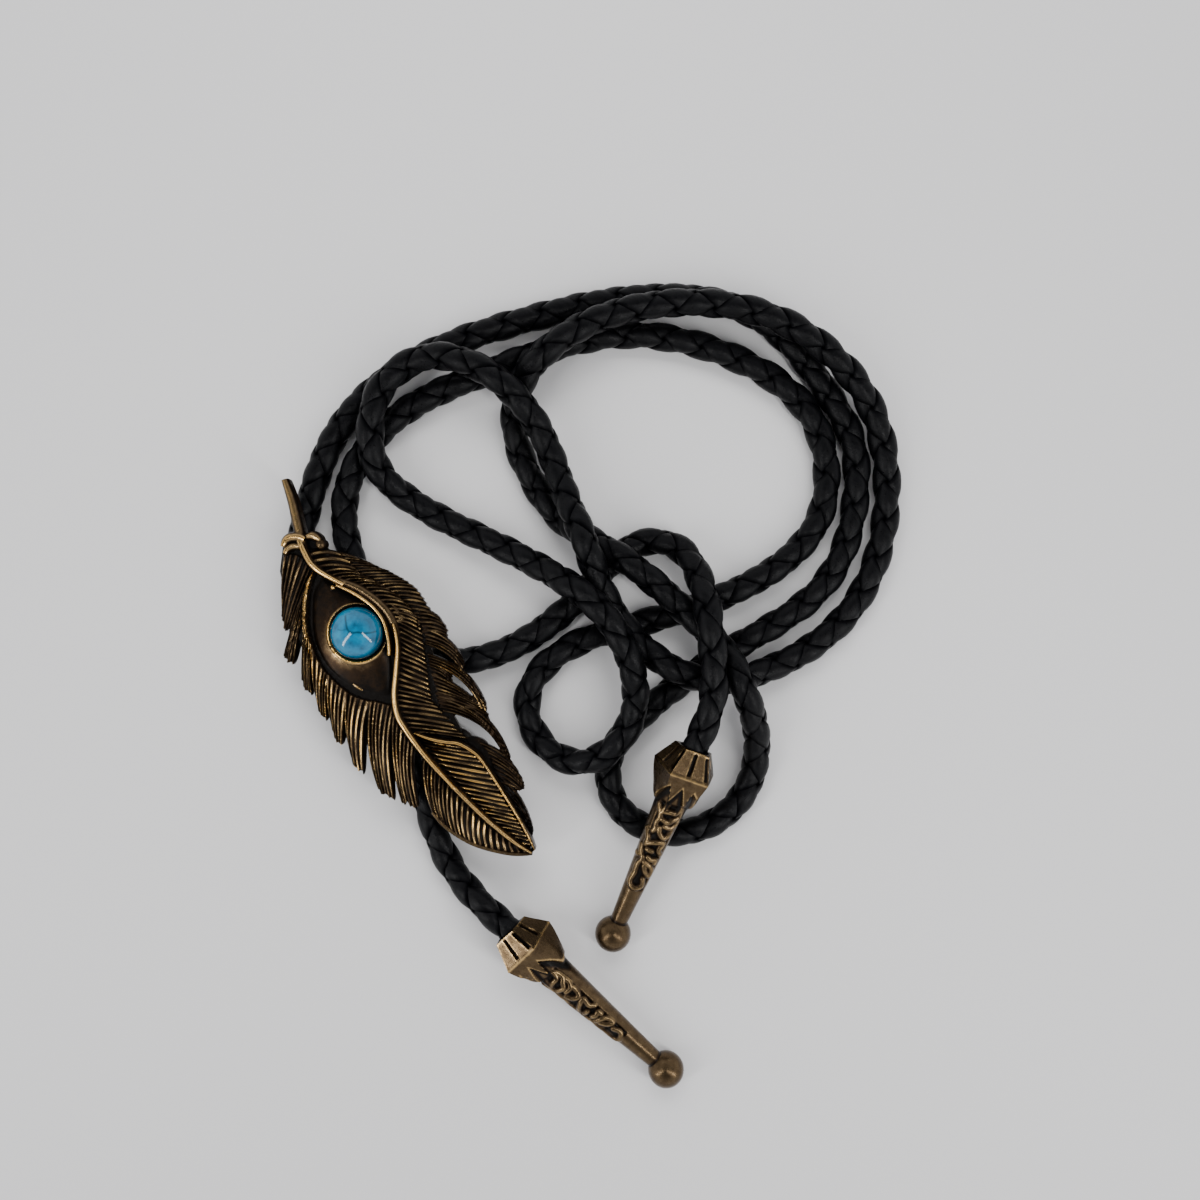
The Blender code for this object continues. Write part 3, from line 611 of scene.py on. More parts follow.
@dataclass(frozen=True)
class MiddleLine:
    """The line down the middle of the cord, and the directions over it and beside it at each point."""

    spots: Array
    over: Array
    side: Array
    reach: Array

    @classmethod
    def through(cls, spots: Array) -> "MiddleLine":
        """Work the directions out from evenly spread points.

        Args:
            spots: The points, in millimetres.

        Returns:
            The line.
        """
        length = float(np.linalg.norm(np.diff(spots, axis=0), axis=1).sum())
        ways = np.gradient(spots, axis=0)
        ways /= np.linalg.norm(ways, axis=1)[:, None]
        over = np.array((0.0, 0.0, 1.0)) - ways * ways[:, 2:]
        over /= np.linalg.norm(over, axis=1)[:, None]
        return cls(spots, over, np.cross(ways, over), np.linspace(0.0, length, len(spots)))

    @property
    def length(self) -> float:
        """The line's length."""
        return float(self.reach[-1])

    def round_it(self, along: Array, angle: Array, radius: Array) -> Array:
        """Find points round the line.

        Args:
            along: How far along the line each point is.
            angle: How far it is turned from straight over the line.
            radius: How far it is from the line.

        Returns:
            The points.
        """
        point, over, side = (follow(along, self.reach, rows) for rows in (self.spots, self.over, self.side))
        point += radius[:, None] * (np.cos(angle)[:, None] * over + np.sin(angle)[:, None] * side)
        return point


@dataclass
class BraidedCord:
    """Four flat leather strips braided round a thin filler core along the cord's route."""

    diameter: float = 4.4
    lap: float = 4.75
    turn: float = 12.7
    centre_radius: float = 1.58
    weave_depth: float = 0.36
    weave_snap: float = 1.8
    strip_width: float = 4.2
    strip_thickness: float = 0.8
    core_radius: float = 1.6
    core_sides: int = 8
    end_round: float = 0.4
    steps: int = 1900
    roll: float = 45.0
    path_step: int = 12
    # How the braid wanders round the line, as (angle, millimetres along, phase)
    wander: Rows = ((0.35, 37.0, 0.0), (0.25, 21.0, 1.0))
    # A strip's section, as (share of its half width, share of its half thickness)
    section: Rows = ((1.0, 0.05), (0.97, 0.55), (0.78, 0.86), (0.4, 0.99), (0.0, 1.03), (-0.4, 0.99),
                     (-0.78, 0.86), (-0.97, 0.55), (-1.0, 0.05), (0.0, -0.9), (1.0, 0.05))

    def route(self, count: int = 6000) -> Array:
        """Follow one natural cubic spline through the route and spread points evenly along it.

        Args:
            count: How many points.

        Returns:
            The points, in millimetres.
        """
        points = np.array([(x, y, self.diameter / 2 + laps * self.lap) for x, y, laps in CORD_ROUTE])
        gaps = np.hypot(*np.diff(points[:, :2], axis=0).T)
        knots = np.concatenate(([0.0], np.cumsum(gaps)))
        size = len(points)
        system = np.eye(size)
        right = np.zeros((size, 3))
        for i in range(1, size - 1):
            system[i, i - 1:i + 2] = gaps[i - 1], 2 * (gaps[i - 1] + gaps[i]), gaps[i]
            right[i] = 6 * ((points[i + 1] - points[i]) / gaps[i] - (points[i] - points[i - 1]) / gaps[i - 1])
        bend = np.linalg.solve(system, right)
        along = np.linspace(0.0, knots[-1], count)
        index = np.clip(np.searchsorted(knots, along, side="right") - 1, 0, size - 2)
        gap = gaps[index][:, None]
        left = ((knots[index + 1] - along) / gaps[index])[:, None]
        ahead = 1 - left
        spots = (left * points[index] + ahead * points[index + 1]
                 + gap ** 2 / 6 * ((left ** 3 - left) * bend[index] + (ahead ** 3 - ahead) * bend[index + 1]))
        spots[:, 2] = np.maximum(spots[:, 2], self.diameter / 2)
        reach = np.concatenate(([0.0], np.cumsum(np.linalg.norm(np.diff(spots, axis=0), axis=1))))
        return follow(np.linspace(0.0, reach[-1], count), reach, spots)

    def strip_rule(self, line: MiddleLine, hand: int, start: float) -> Place:
        """Lay a sheet as one strip, which goes over and under the strips of the other hand.

        Args:
            line: The cord's middle line.
            hand: 1 for a strip that winds one way, -1 for the other.
            start: The angle that it starts at.

        Returns:
            The rule for the sheet. Its marks are the millimetres along and across the strip, and its number.
        """
        wave = math.tau / self.turn
        section = np.array(self.section)
        around = np.linspace(0.0, 1.0, len(section))
        over_radius = self.centre_radius + self.weave_depth
        lean = math.atan(wave * over_radius)

        def place(u: Array, w: Array) -> tuple[Array, Array]:
            s = u * line.length
            width = np.interp(w, around, section[:, 0]) * self.strip_width / 2
            thick = np.interp(w, around, section[:, 1]) * self.strip_thickness / 2
            close = np.sqrt(np.clip(np.minimum(s, line.length - s) / self.end_round, 0.0, 1.0))
            width, thick = width * close, thick * close
            along = np.clip(s - width * math.sin(lean), 0.0, line.length)
            turn = hand * (wave * s + width * math.cos(lean) / over_radius) + start
            field = 0.5 * (np.cos(2 * wave * along) + np.cos(2 * turn))
            field = np.tanh(self.weave_snap * field) / math.tanh(self.weave_snap)
            radius = self.centre_radius + hand * self.weave_depth * field + thick
            slow = math.radians(self.roll)
            for swing, reach, phase in self.wander:
                slow = slow + swing * np.sin(along / reach + phase)
            number = np.full(len(s), 10.0 * hand + start)
            return line.round_it(along, turn + slow, radius), np.stack((s, width, number), axis=1)
        return place

    def core_rule(self, line: MiddleLine) -> Place:
        """Lay a sheet as the filler core, marked all over as a strip's rim, so it takes the painted edge
        shade.

        Args:
            line: The cord's middle line.

        Returns:
            The rule for the sheet.
        """
        def place(u: Array, w: Array) -> tuple[Array, Array]:
            s = u * line.length
            close = np.sqrt(np.clip(np.minimum(s, line.length - s) / self.end_round, 0.0, 1.0))
            marks = np.stack((s, np.full(len(s), self.strip_width / 2), np.zeros(len(s))), axis=1)
            return line.round_it(s, math.tau * w, self.core_radius * close), marks
        return place

    def build(self) -> bpy.types.Object:
        """Braid the strips along the route."""
        line = MiddleLine.through(self.route())
        bm = bmesh.new()
        for hand in (1, -1):
            for start in (0.0, math.pi):
                add_sheet(bm, self.steps, len(self.section) - 1, self.strip_rule(line, hand, start), Mark.LAY)
        add_sheet(bm, self.steps // 2, self.core_sides, self.core_rule(line), Mark.LAY)
        weld(bm)
        cord = finish_piece(bm, "braided_cord", Matrix.Identity(4), 42.0)
        hand_over(cord, "cord", BraidLeather().material())
        LOG.info("cord: %.1f mm long", line.length)
        return cord


@dataclass(frozen=True)
class Fan:
    """One fan of barbs: the lines that they start and end on, and how the fan stands.

    The heights at root and tip are shares of the casting's thickness, and glow says how bright the barbs'
    crests are worn.
    """

    start: Rows
    end: Rows
    barbs: int
    bow: float
    root: float
    tip: float
    glow: float
    lip: bool = False
    ragged: float = 0.05
    dip: float = 0.0
    depth: float = 1.0


@dataclass(frozen=True)
class Rib:
    """A rounded rib along rows of (along, across, half width), how far it stands up, and how bright it is."""

    rows: Rows
    rise: float
    drop: float = 0.25
    glow: float = 0.75


LEFT_TUFTS = (
    Fan(((0.135, -0.098), (0.15, -0.075), (0.18, -0.06), (0.205, -0.062)),
        ((0.245, -0.178), (0.263, -0.19), (0.282, -0.193), (0.286, -0.18)),
        7, 0.02, 0.85, 0.65, 0.4, True, 0.1),
    Fan(((0.205, -0.075), (0.235, -0.105), (0.262, -0.122)),
        ((0.318, -0.222), (0.338, -0.229), (0.35, -0.216)), 6, 0.02, 0.85, 0.65, 0.5, True, 0.09),
    Fan(((0.204, -0.056), (0.223, -0.082), (0.247, -0.106), (0.274, -0.126),
         (0.307, -0.145), (0.352, -0.159)),
        ((0.212, -0.085), (0.236, -0.108), (0.258, -0.126), (0.285, -0.144),
         (0.318, -0.162), (0.366, -0.176)),
        18, 0.0, 1.15, 1.0, 0.12, depth=0.5),
    Fan(((0.262, -0.124), (0.309, -0.147), (0.337, -0.158)),
        ((0.396, -0.226), (0.42, -0.231), (0.43, -0.221)), 6, 0.02, 0.95, 0.65, 0.7, True, 0.08),
    Fan(((0.335, -0.158), (0.39, -0.165), (0.416, -0.163)),
        ((0.454, -0.224), (0.482, -0.232), (0.496, -0.226)), 5, 0.03, 1.0, 0.65, 0.8, True, 0.08),
    Fan(((0.405, -0.164), (0.44, -0.158), (0.47, -0.148)),
        ((0.515, -0.226), (0.549, -0.236), (0.56, -0.226)), 5, 0.03, 1.0, 0.65, 0.85, True, 0.08),
    Fan(((0.463, -0.152), (0.488, -0.14), (0.515, -0.117)),
        ((0.6, -0.228), (0.622, -0.234), (0.642, -0.224)), 5, 0.055, 1.0, 0.65, 0.85, True, 0.06),
    Fan(((0.51, -0.12), (0.53, -0.1), (0.556, -0.08)),
        ((0.69, -0.218), (0.712, -0.214), (0.728, -0.199)), 6, 0.06, 1.0, 0.65, 0.8, True, 0.06),
    Fan(((0.548, -0.08), (0.6, -0.086), (0.646, -0.088)),
        ((0.74, -0.191), (0.758, -0.181), (0.777, -0.166)), 6, 0.055, 1.0, 0.65, 0.75, ragged=0.06),
)

LEAF = (
    Fan(((0.675, -0.086), (0.76, -0.073), (0.87, -0.051), (0.975, -0.016)),
        ((0.8, -0.145), (0.865, -0.13), (0.93, -0.09), (0.994, -0.016)), 20, 0.08, 0.85, 0.82, 0.8,
        ragged=0.02, dip=0.3),
    Fan(((0.624, -0.0875), (0.672, -0.085), (0.746, -0.076), (0.817, -0.064),
         (0.883, -0.048), (0.962, -0.022)),
        ((0.702, -0.001), (0.765, 0.0155), (0.828, 0.0105), (0.885, 0.0065), (0.935, 0.0045), (0.985, 0.002)),
        22, 0.0, 0.9, 1.1, 1.05, ragged=0.0, dip=0.6),
)

RIGHT_VANES = (
    Fan(((0.15, -0.05), (0.203, -0.05), (0.26, -0.02), (0.317, 0.03), (0.369, 0.045), (0.422, 0.048)),
        ((0.24, 0.042), (0.272, 0.062), (0.315, 0.088), (0.365, 0.106), (0.42, 0.106), (0.47, 0.108)),
        21, -0.06, 0.72, 0.6, 0.68, ragged=0.03),
    Fan(((0.16, -0.052), (0.21, -0.048), (0.25, -0.03), (0.285, -0.006),
         (0.33, 0.018), (0.369, 0.026), (0.4, 0.024)),
        ((0.205, 0.014), (0.262, 0.022), (0.3, 0.042), (0.338, 0.06),
         (0.382, 0.072), (0.42, 0.072), (0.448, 0.062)),
        18, -0.1, 1.0, 0.82, 0.7, ragged=0.12),
    Fan(((0.345, 0.03), (0.374, 0.028), (0.409, 0.022), (0.442, 0.01), (0.468, -0.008), (0.495, -0.03),
         (0.523, -0.054), (0.55, -0.072), (0.592, -0.08), (0.628, -0.078)),
        ((0.414, 0.075), (0.439, 0.067), (0.468, 0.055), (0.499, 0.039), (0.525, 0.026), (0.556, 0.01),
         (0.586, -0.002), (0.62, 0.0), (0.672, 0.008), (0.708, 0.016)),
        26, -0.015, 1.0, 0.78, 0.66, ragged=0.03),
    Fan(((0.4, 0.085), (0.425, 0.075), (0.454, 0.06)),
        ((0.445, 0.113), (0.476, 0.112), (0.491, 0.103)), 6, -0.1, 0.72, 0.62, 0.55, depth=0.8),
    Fan(((0.44, 0.07), (0.466, 0.06), (0.478, 0.052)),
        ((0.545, 0.104), (0.57, 0.097), (0.574, 0.083)), 5, -0.12, 0.72, 0.6, 0.6, depth=0.8),
    Fan(((0.495, 0.046), (0.507, 0.041), (0.52, 0.036)),
        ((0.674, 0.088), (0.679, 0.082), (0.668, 0.071)), 4, -0.13, 0.72, 0.62, 0.75, depth=0.9),
    Fan(((0.51, 0.036), (0.53, 0.032), (0.56, 0.024)),
        ((0.572, 0.062), (0.585, 0.052), (0.6, 0.044)), 5, -0.08, 0.7, 0.5, 0.6, depth=0.8),
    Fan(((0.535, 0.028), (0.575, 0.016), (0.61, 0.004)),
        ((0.668, 0.081), (0.684, 0.082), (0.7, 0.077)), 8, -0.05, 0.72, 0.58, 0.6, depth=0.8),
    Fan(((0.575, 0.012), (0.6, 0.004), (0.625, 0.001)),
        ((0.795, 0.067), (0.793, 0.06), (0.778, 0.056)), 5, -0.14, 0.72, 0.6, 0.6, depth=0.9),
    Fan(((0.59, -0.07), (0.68, -0.03), (0.76, 0.012), (0.86, 0.006), (0.97, -0.002)),
        ((0.625, 0.005), (0.68, 0.018), (0.765, 0.053), (0.86, 0.036), (0.985, 0.004)),
        9, 0.0, 0.55, 0.45, 0.12, depth=0.35),
    Fan(((0.72, 0.03), (0.756, 0.032), (0.788, 0.026), (0.83, 0.016)),
        ((0.8, 0.066), (0.85, 0.063), (0.869, 0.055), (0.867, 0.042)), 8, -0.05, 0.62, 0.55, 0.45, depth=0.7),
    Fan(((0.8, 0.025), (0.86, 0.006)), ((0.955, 0.021), (0.972, 0.008)), 4, -0.08, 0.6, 0.5, 0.3, depth=0.7),
)

FANS = LEFT_TUFTS + LEAF + RIGHT_VANES


def hatching(start: Rows, end: Rows, marks: int) -> tuple[Rib, ...]:
    """Lay short slanted ribs from one line across to another.

    Args:
        start: The line where the marks begin.
        end: The line where they run out.
        marks: How many there are.

    Returns:
        The ribs, in order along the lines.
    """
    along = np.linspace(0.0, 0.92, marks)
    inner, outer = curve_at(np.array(start), along), curve_at(np.array(end), along + 0.08)
    return tuple(Rib(((*low, 0.001), (*(0.6 * low + 0.4 * high), 0.0018), (*high, 0.0009)), 0.5, 0.9, 0.8)
                 for low, high in zip(inner, outer))


HATCHING = hatching(LEFT_TUFTS[2].start, LEFT_TUFTS[2].end, 16)

RIBS = HATCHING + (
    Rib(((0.0, 0.0, 0.0085), (0.05, -0.014, 0.011), (0.1, -0.033, 0.012), (0.15, -0.052, 0.011)),
        0.45, 0.4, 0.68),
    Rib(((0.13, -0.048, 0.0095), (0.177, -0.055, 0.0095), (0.207, -0.051, 0.0095), (0.24, -0.036, 0.0085),
         (0.268, -0.02, 0.0075)), 0.85, 0.5, 0.7),
    Rib(((0.245, -0.032, 0.008), (0.276, -0.01, 0.0105), (0.298, 0.003, 0.0115), (0.335, 0.017, 0.0115),
         (0.366, 0.023, 0.0115), (0.394, 0.022, 0.0115), (0.426, 0.013, 0.01)), 0.5, 0.4, 0.42),
    Rib(((0.4, 0.022, 0.005), (0.426, 0.012, 0.007), (0.453, -0.003, 0.0075), (0.49, -0.032, 0.0085),
         (0.53, -0.064, 0.009), (0.566, -0.082, 0.0095), (0.6, -0.087, 0.0095), (0.68, -0.084, 0.0085),
         (0.778, -0.07, 0.0065)), 0.9, 0.5, 0.72),
    Rib(((0.77, -0.0715, 0.0075), (0.869, -0.051, 0.0075), (0.95, -0.027, 0.007), (0.992, -0.008, 0.004)),
        0.8, 0.5, 0.6),
    Rib(((0.259, -0.035, 0.005), (0.289, -0.016, 0.007), (0.32, -0.002, 0.0075), (0.349, 0.006, 0.0075),
         (0.38, 0.007, 0.0075), (0.408, -0.001, 0.0075), (0.433, -0.012, 0.0075), (0.454, -0.025, 0.0075)),
        1.05, 0.6, 0.7),
    Rib(((0.626, -0.076, 0.003), (0.648, -0.061, 0.005), (0.668, -0.044, 0.006), (0.684, -0.027, 0.006),
         (0.702, -0.007, 0.006), (0.738, 0.0105, 0.0055), (0.77, 0.0145, 0.005), (0.815, 0.014, 0.005),
         (0.857, 0.0125, 0.005), (0.913, 0.01, 0.0045), (0.962, 0.005, 0.0045), (0.99, 0.0, 0.003)),
        0.6, 0.4, 0.7),
    Rib(((0.795, -0.1435, 0.003), (0.83, -0.139, 0.004), (0.865, -0.1275, 0.004), (0.9, -0.11, 0.004),
         (0.93, -0.088, 0.004), (0.965, -0.055, 0.004), (0.985, -0.028, 0.004), (0.995, -0.01, 0.0035)),
        -0.25, 0.4, 0.5),
    Rib(((0.122, -0.086, 0.007), (0.114, -0.073, 0.0105), (0.115, -0.059, 0.012), (0.125, -0.044, 0.012),
         (0.137, -0.036, 0.009)), 0.8, 0.3, 0.74),
    Rib(((0.137, -0.092, 0.006), (0.131, -0.079, 0.0085), (0.134, -0.064, 0.009), (0.147, -0.051, 0.007)),
        0.55, 0.3, 0.62),
    Rib(((0.133, -0.03, 0.007), (0.138, -0.018, 0.011), (0.148, -0.012, 0.01), (0.157, -0.009, 0.006)),
        0.7, 0.3, 0.55),
    # A short low streak in the eye's dish, made bright as a painted glint
    Rib(((0.45, -0.132, 0.002), (0.467, -0.1275, 0.0055), (0.484, -0.121, 0.002)), -0.85, 1.3, 0.8),
)

# Small round knobs, as (place, radius, height, wear): the pimple in the eye and the knot beside the wrap
KNOBS = (((0.257, -0.046), 0.45, 1.75, 0.75), ((0.163, -0.014), 0.85, 2.1, 0.3))

EYE_BORDER: Rows = (
    (0.204, -0.056), (0.225, -0.093), (0.265, -0.122), (0.3, -0.142), (0.335, -0.156), (0.37, -0.163),
    (0.405, -0.164), (0.442, -0.157), (0.48, -0.14), (0.513, -0.114), (0.548, -0.08), (0.5, -0.042),
    (0.455, -0.02), (0.42, -0.004), (0.38, 0.008), (0.345, 0.006), (0.31, -0.008), (0.27, -0.026),
    (0.232, -0.042),
)

WEB_OUTLINE: Rows = (
    (0.12, -0.09), (0.16, -0.125), (0.215, -0.148), (0.262, -0.168), (0.31, -0.176), (0.345, -0.178),
    (0.4, -0.19), (0.46, -0.188), (0.52, -0.168), (0.575, -0.155), (0.62, -0.13), (0.65, -0.095),
    (0.72, -0.07), (0.74, 0.005), (0.68, 0.012), (0.62, 0.018), (0.56, 0.03), (0.5, 0.055), (0.44, 0.078),
    (0.385, 0.09), (0.32, 0.075), (0.27, 0.045), (0.22, 0.02), (0.17, -0.015), (0.13, -0.03),
)


@dataclass
class FeatherSlide:
    """The cast slide: its relief is drawn from fans, ribs and the eye, then cast as one closed shell."""

    length: float = 72.0
    angle: float = -55.95
    back: float = 5.95
    thickness: float = 2.3
    clip_seat: tuple[float, float] = (0.358, -0.063)
    stone_seat: tuple[float, float] = (0.372, -0.057)
    seat_radius: float = 4.45
    seat_floor: float = 0.8
    web_height: float = 1.3
    barb_depth: float = 0.6
    lip_drop: float = 0.8
    lip_width: float = 0.7
    pitch: float = 0.125
    crest_share: float = 0.24
    bezel_rise: float = 0.28
    bezel_width: float = 0.3
    edge_height: float = 0.3
    plain_wear: float = 0.2
    # The corners of the grid that is cast, along and across the feather
    grid_corners: Rows = ((-0.012, -0.244), (1.008, 0.122))
    # How far round a place its wear compares its height, as (millimetres, most that counts, strength)
    rubbing: Rows = ((0.42, 0.3, 0.45), (1.3, 0.6, 0.1))
    # The side of the stone where the dish gets a painted highlight, as a direction along and across the
    # feather
    painted_highlight_side: tuple[float, float] = (0.33, -0.94)
    # The eye from the stone's edge out to its border, as (share of the way, height)
    eye_section: Rows = ((0.0, 2.0), (0.25, 1.9), (0.5, 1.7), (0.64, 1.58), (0.74, 1.42), (0.84, 1.2),
                         (0.94, 0.8), (1.0, 0.95))

    def on_feather(self, rows: Rows) -> Array:
        """Turn shares of the feather's length to millimetres from the clip's seat.

        Args:
            rows: Rows that start with (along, across).

        Returns:
            The rows in millimetres.
        """
        spots = np.array(rows, float)
        spots[:, :2] -= self.clip_seat
        return spots * self.length

    def fan_rule(self, fan: Fan, rng: np.random.Generator) -> Place:
        """Lay a sheet as one fan of barbs, each a rounded ridge with a pointed end.

        Args:
            fan: The fan.
            rng: Draws how far each barb reaches.

        Returns:
            The rule for the sheet.
        """
        first, last = self.on_feather(fan.start), self.on_feather(fan.end)
        short = rng.uniform(0.0, fan.ragged, fan.barbs + 1)
        tall = rng.uniform(-0.12, 0.12, fan.barbs + 1)
        worn = fan.glow * rng.uniform(0.6, 1.1, fan.barbs + 1)
        wander = rng.uniform(0.0, math.tau, fan.barbs + 1)

        def place(u: Array, w: Array) -> tuple[Array, Array]:
            barb = np.minimum((w * fan.barbs).astype(int), fan.barbs - 1)
            phase = w * fan.barbs - barb
            middle = 1 - (2 * phase - 1) ** 2
            a, b = curve_at(first, w), curve_at(last, w)
            run = b - a
            size = np.linalg.norm(run, axis=1)
            t = u * (1 - short[barb] - (1 - middle) * 0.45 / size)
            bend = fan.bow * size * 4 * t * (1 - t) + 0.05 * np.sin(5.0 * u + wander[barb])
            spot = a + run * t[:, None] - turned(run) * bend[:, None]
            height = self.thickness * (fan.root + (fan.tip - fan.root) * u ** 2) + tall[barb]
            depth = self.barb_depth * fan.depth * np.sin(math.pi * np.clip(0.22 + u, 0.0, 0.8))
            height -= depth * (1 - np.sin(math.pi * phase) ** 1.3)
            height -= fan.dip * (1 - smooth(0.08, 0.24, u))
            crest = np.exp(-((phase - 0.5) / self.crest_share) ** 2)
            along = (0.72 + 0.28 * np.sin(9.0 * u + 2 * wander[barb])) * smooth(-0.1, 0.2, u)
            return np.column_stack((spot, height)), 0.12 + 0.95 * worn[barb] * crest * along
        return place

    def lip_rule(self, fan: Fan) -> Place:
        """Lay a sheet as the low lip beside a fan's last barb, dark with patina and painted shade."""
        first, last = self.on_feather(fan.start), self.on_feather(fan.end)

        def place(u: Array, w: Array) -> tuple[Array, Array]:
            a, b = first[-1:], last[-1:]
            run = np.repeat(b - a, len(u), axis=0)
            size = np.linalg.norm(run, axis=1)
            spot = a + run * u[:, None] - turned(run) * (fan.bow * size * 4 * u * (1 - u))[:, None]
            end = np.sqrt(np.clip(1.04 - u ** 6, 0.0, 1.0))
            out = self.lip_width * np.minimum(1.0, 0.2 + 2 * u) * w * end
            spot += turned(run) * (out - 0.3)[:, None]
            height = self.thickness * (fan.root + (fan.tip - fan.root) * u ** 2)
            height -= self.lip_drop * np.minimum(1.0, 3 * u) + 0.25 * w ** 3
            # The lip's low wear darkens it: patina and painted shade on the undercut side
            return np.column_stack((spot, height)), np.full(len(u), 0.08)
        return place

    def rib_rule(self, rib: Rib) -> Place:
        """Lay a sheet as a rounded rib."""
        rows = self.on_feather(rib.rows)
        rows[:, 2] = np.array([row[2] for row in rib.rows]) * self.length

        def place(u: Array, w: Array) -> tuple[Array, Array]:
            here = curve_at(rows, u)
            run = curve_at(rows, u + 0.01)[:, :2] - curve_at(rows, u - 0.01)[:, :2]
            across = 2 * w - 1
            spot = here[:, :2] + turned(run) * (across * here[:, 2])[:, None]
            crown = np.sqrt(np.clip(1 - across ** 2, 0.0, 1.0))
            height = self.thickness - rib.drop + (rib.rise + rib.drop) * crown
            return np.column_stack((spot, height)), 0.15 + rib.glow * 0.75 * crown ** 3
        return place

    def eye_rule(self) -> Place:
        """Lay a sheet round the stone: bezel, dish, groove and ring ridge out to the eye's border."""
        border = self.on_feather(EYE_BORDER + EYE_BORDER[:1])
        centre = self.on_feather((self.stone_seat,))[0]
        section = np.array(self.eye_section)

        def place(u: Array, w: Array) -> tuple[Array, Array]:
            away = curve_at(border, u) - centre
            way = away / np.linalg.norm(away, axis=1)[:, None]
            rim = way * self.seat_radius
            spot = centre + rim + (away - rim) * w[:, None]
            out = np.linalg.norm(spot - centre, axis=1) - self.seat_radius
            bezel = np.exp(-((out - self.bezel_width) / (0.7 * self.bezel_width)) ** 2)
            height = np.interp(w, section[:, 0], section[:, 1]) + self.bezel_rise * bezel
            # Painted highlight: the dish near the bezel is brighter towards one side of the stone
            rubbed = np.clip(way @ np.array(self.painted_highlight_side), -0.2, 1.0) + 0.2
            wear = 0.14 + 0.5 * rubbed * np.exp(-np.maximum(out - 0.3, 0.0) / 0.95) + 0.36 * bezel
            return np.column_stack((spot, height)), wear - 0.05 * smooth(0.5, 0.84, w)
        return place

    def relief(self) -> Finder:
        """Draw the whole relief as sheets, and hand back what finds its height and wear under a place."""
        rng = np.random.default_rng(SEED)
        bm = bmesh.new()
        layer = bm.verts.layers.float.new(Mark.WEAR_AND_PAINTED_LIGHT.value)
        for fan in FANS:
            add_sheet(bm, 44, fan.barbs * 10, self.fan_rule(fan, rng), Mark.WEAR_AND_PAINTED_LIGHT)
            if fan.lip:
                add_sheet(bm, 30, 6, self.lip_rule(fan), Mark.WEAR_AND_PAINTED_LIGHT)
        for rib in RIBS:
            add_sheet(bm, 16 * len(rib.rows), 12, self.rib_rule(rib), Mark.WEAR_AND_PAINTED_LIGHT)
        add_sheet(bm, 160, 90, self.eye_rule(), Mark.WEAR_AND_PAINTED_LIGHT)
        web = [bm.verts.new((x, y, self.web_height)) for x, y in self.on_feather(WEB_OUTLINE)]
        bmesh.ops.contextual_create(bm, geom=web)
        for place, radius, height, wear in KNOBS:
            spot = Matrix.Translation((*self.on_feather((place,))[0], height))
            knob = bmesh.ops.create_icosphere(
                bm, subdivisions=3, radius=radius, matrix=spot @ Matrix.Diagonal((1, 1, 0.8, 1)))
            for vert in knob["verts"]:
                vert[layer] = wear
        bmesh.ops.triangulate(bm, faces=bm.faces)
        bm.verts.index_update()
        tree = BVHTree.FromBMesh(bm)
        corners = np.array([[vert.index for vert in face.verts] for face in bm.faces])
        plan = np.array([vert.co.to_tuple()[:2] for vert in bm.verts])
        worn = np.array([vert[layer] for vert in bm.verts])
        bm.free()
        down = Vector((0.0, 0.0, -1.0))

        def below(x: float, y: float) -> tuple[float, float] | None:
            hit, _, index, _ = tree.ray_cast(Vector((x, y, 20.0)), down)
            if hit is None:
                return None
            near = corners[index]
            gaps = np.linalg.norm(plan[near] - (x, y), axis=1) + 1e-6
            return hit.z, float(worn[near] @ (1 / gaps) / (1 / gaps).sum())
        return below

    @staticmethod
    def blurred(heights: Array, inside: Array, sigma: float) -> Array:
        """Smooth a field of heights, counting only the places inside the casting.

        Args:
            heights: The field.
            inside: Which places count.
            sigma: How far it is smoothed, in grid steps.

        Returns:
            The smoothed field.
        """
        reach = int(3 * sigma)
        kernel = np.exp(-0.5 * (np.arange(-reach, reach + 1) / sigma) ** 2)
        fields = [np.where(inside, heights, 0.0), inside.astype(float)]
        for axis in (0, 1):
            fields = [np.apply_along_axis(np.convolve, axis, one, kernel, mode="same") for one in fields]
        return fields[0] / np.maximum(fields[1], 1e-6)

    def dropped(self, spots: Array, below: Finder) -> tuple[Array, Array]:
        """Find the height and the wear at each place, with the stone's seat sunk to its floor.

        Args:
            spots: The places. Those at the seat's edge are moved onto its circle.
            below: Finds the relief's height and wear under a place.

        Returns:
            The heights, which are NaN outside the casting, and the wear.
        """
        centre = self.on_feather((self.stone_seat,))[0]
        away = spots - centre
        far = np.linalg.norm(away, axis=1)
        near = np.abs(far - self.seat_radius) < 0.5 * self.pitch
        spots[near] = centre + away[near] / far[near, None] * (self.seat_radius + 0.01)
        seated = np.linalg.norm(spots - centre, axis=1) < self.seat_radius
        heights = np.full(len(spots), np.nan)
        tones = np.full(len(spots), self.plain_wear)
        for index, (x, y) in enumerate(spots.tolist()):
            found = (self.seat_floor, 0.1) if seated[index] else below(x, y)
            if found:
                heights[index], tones[index] = found
        return heights, tones

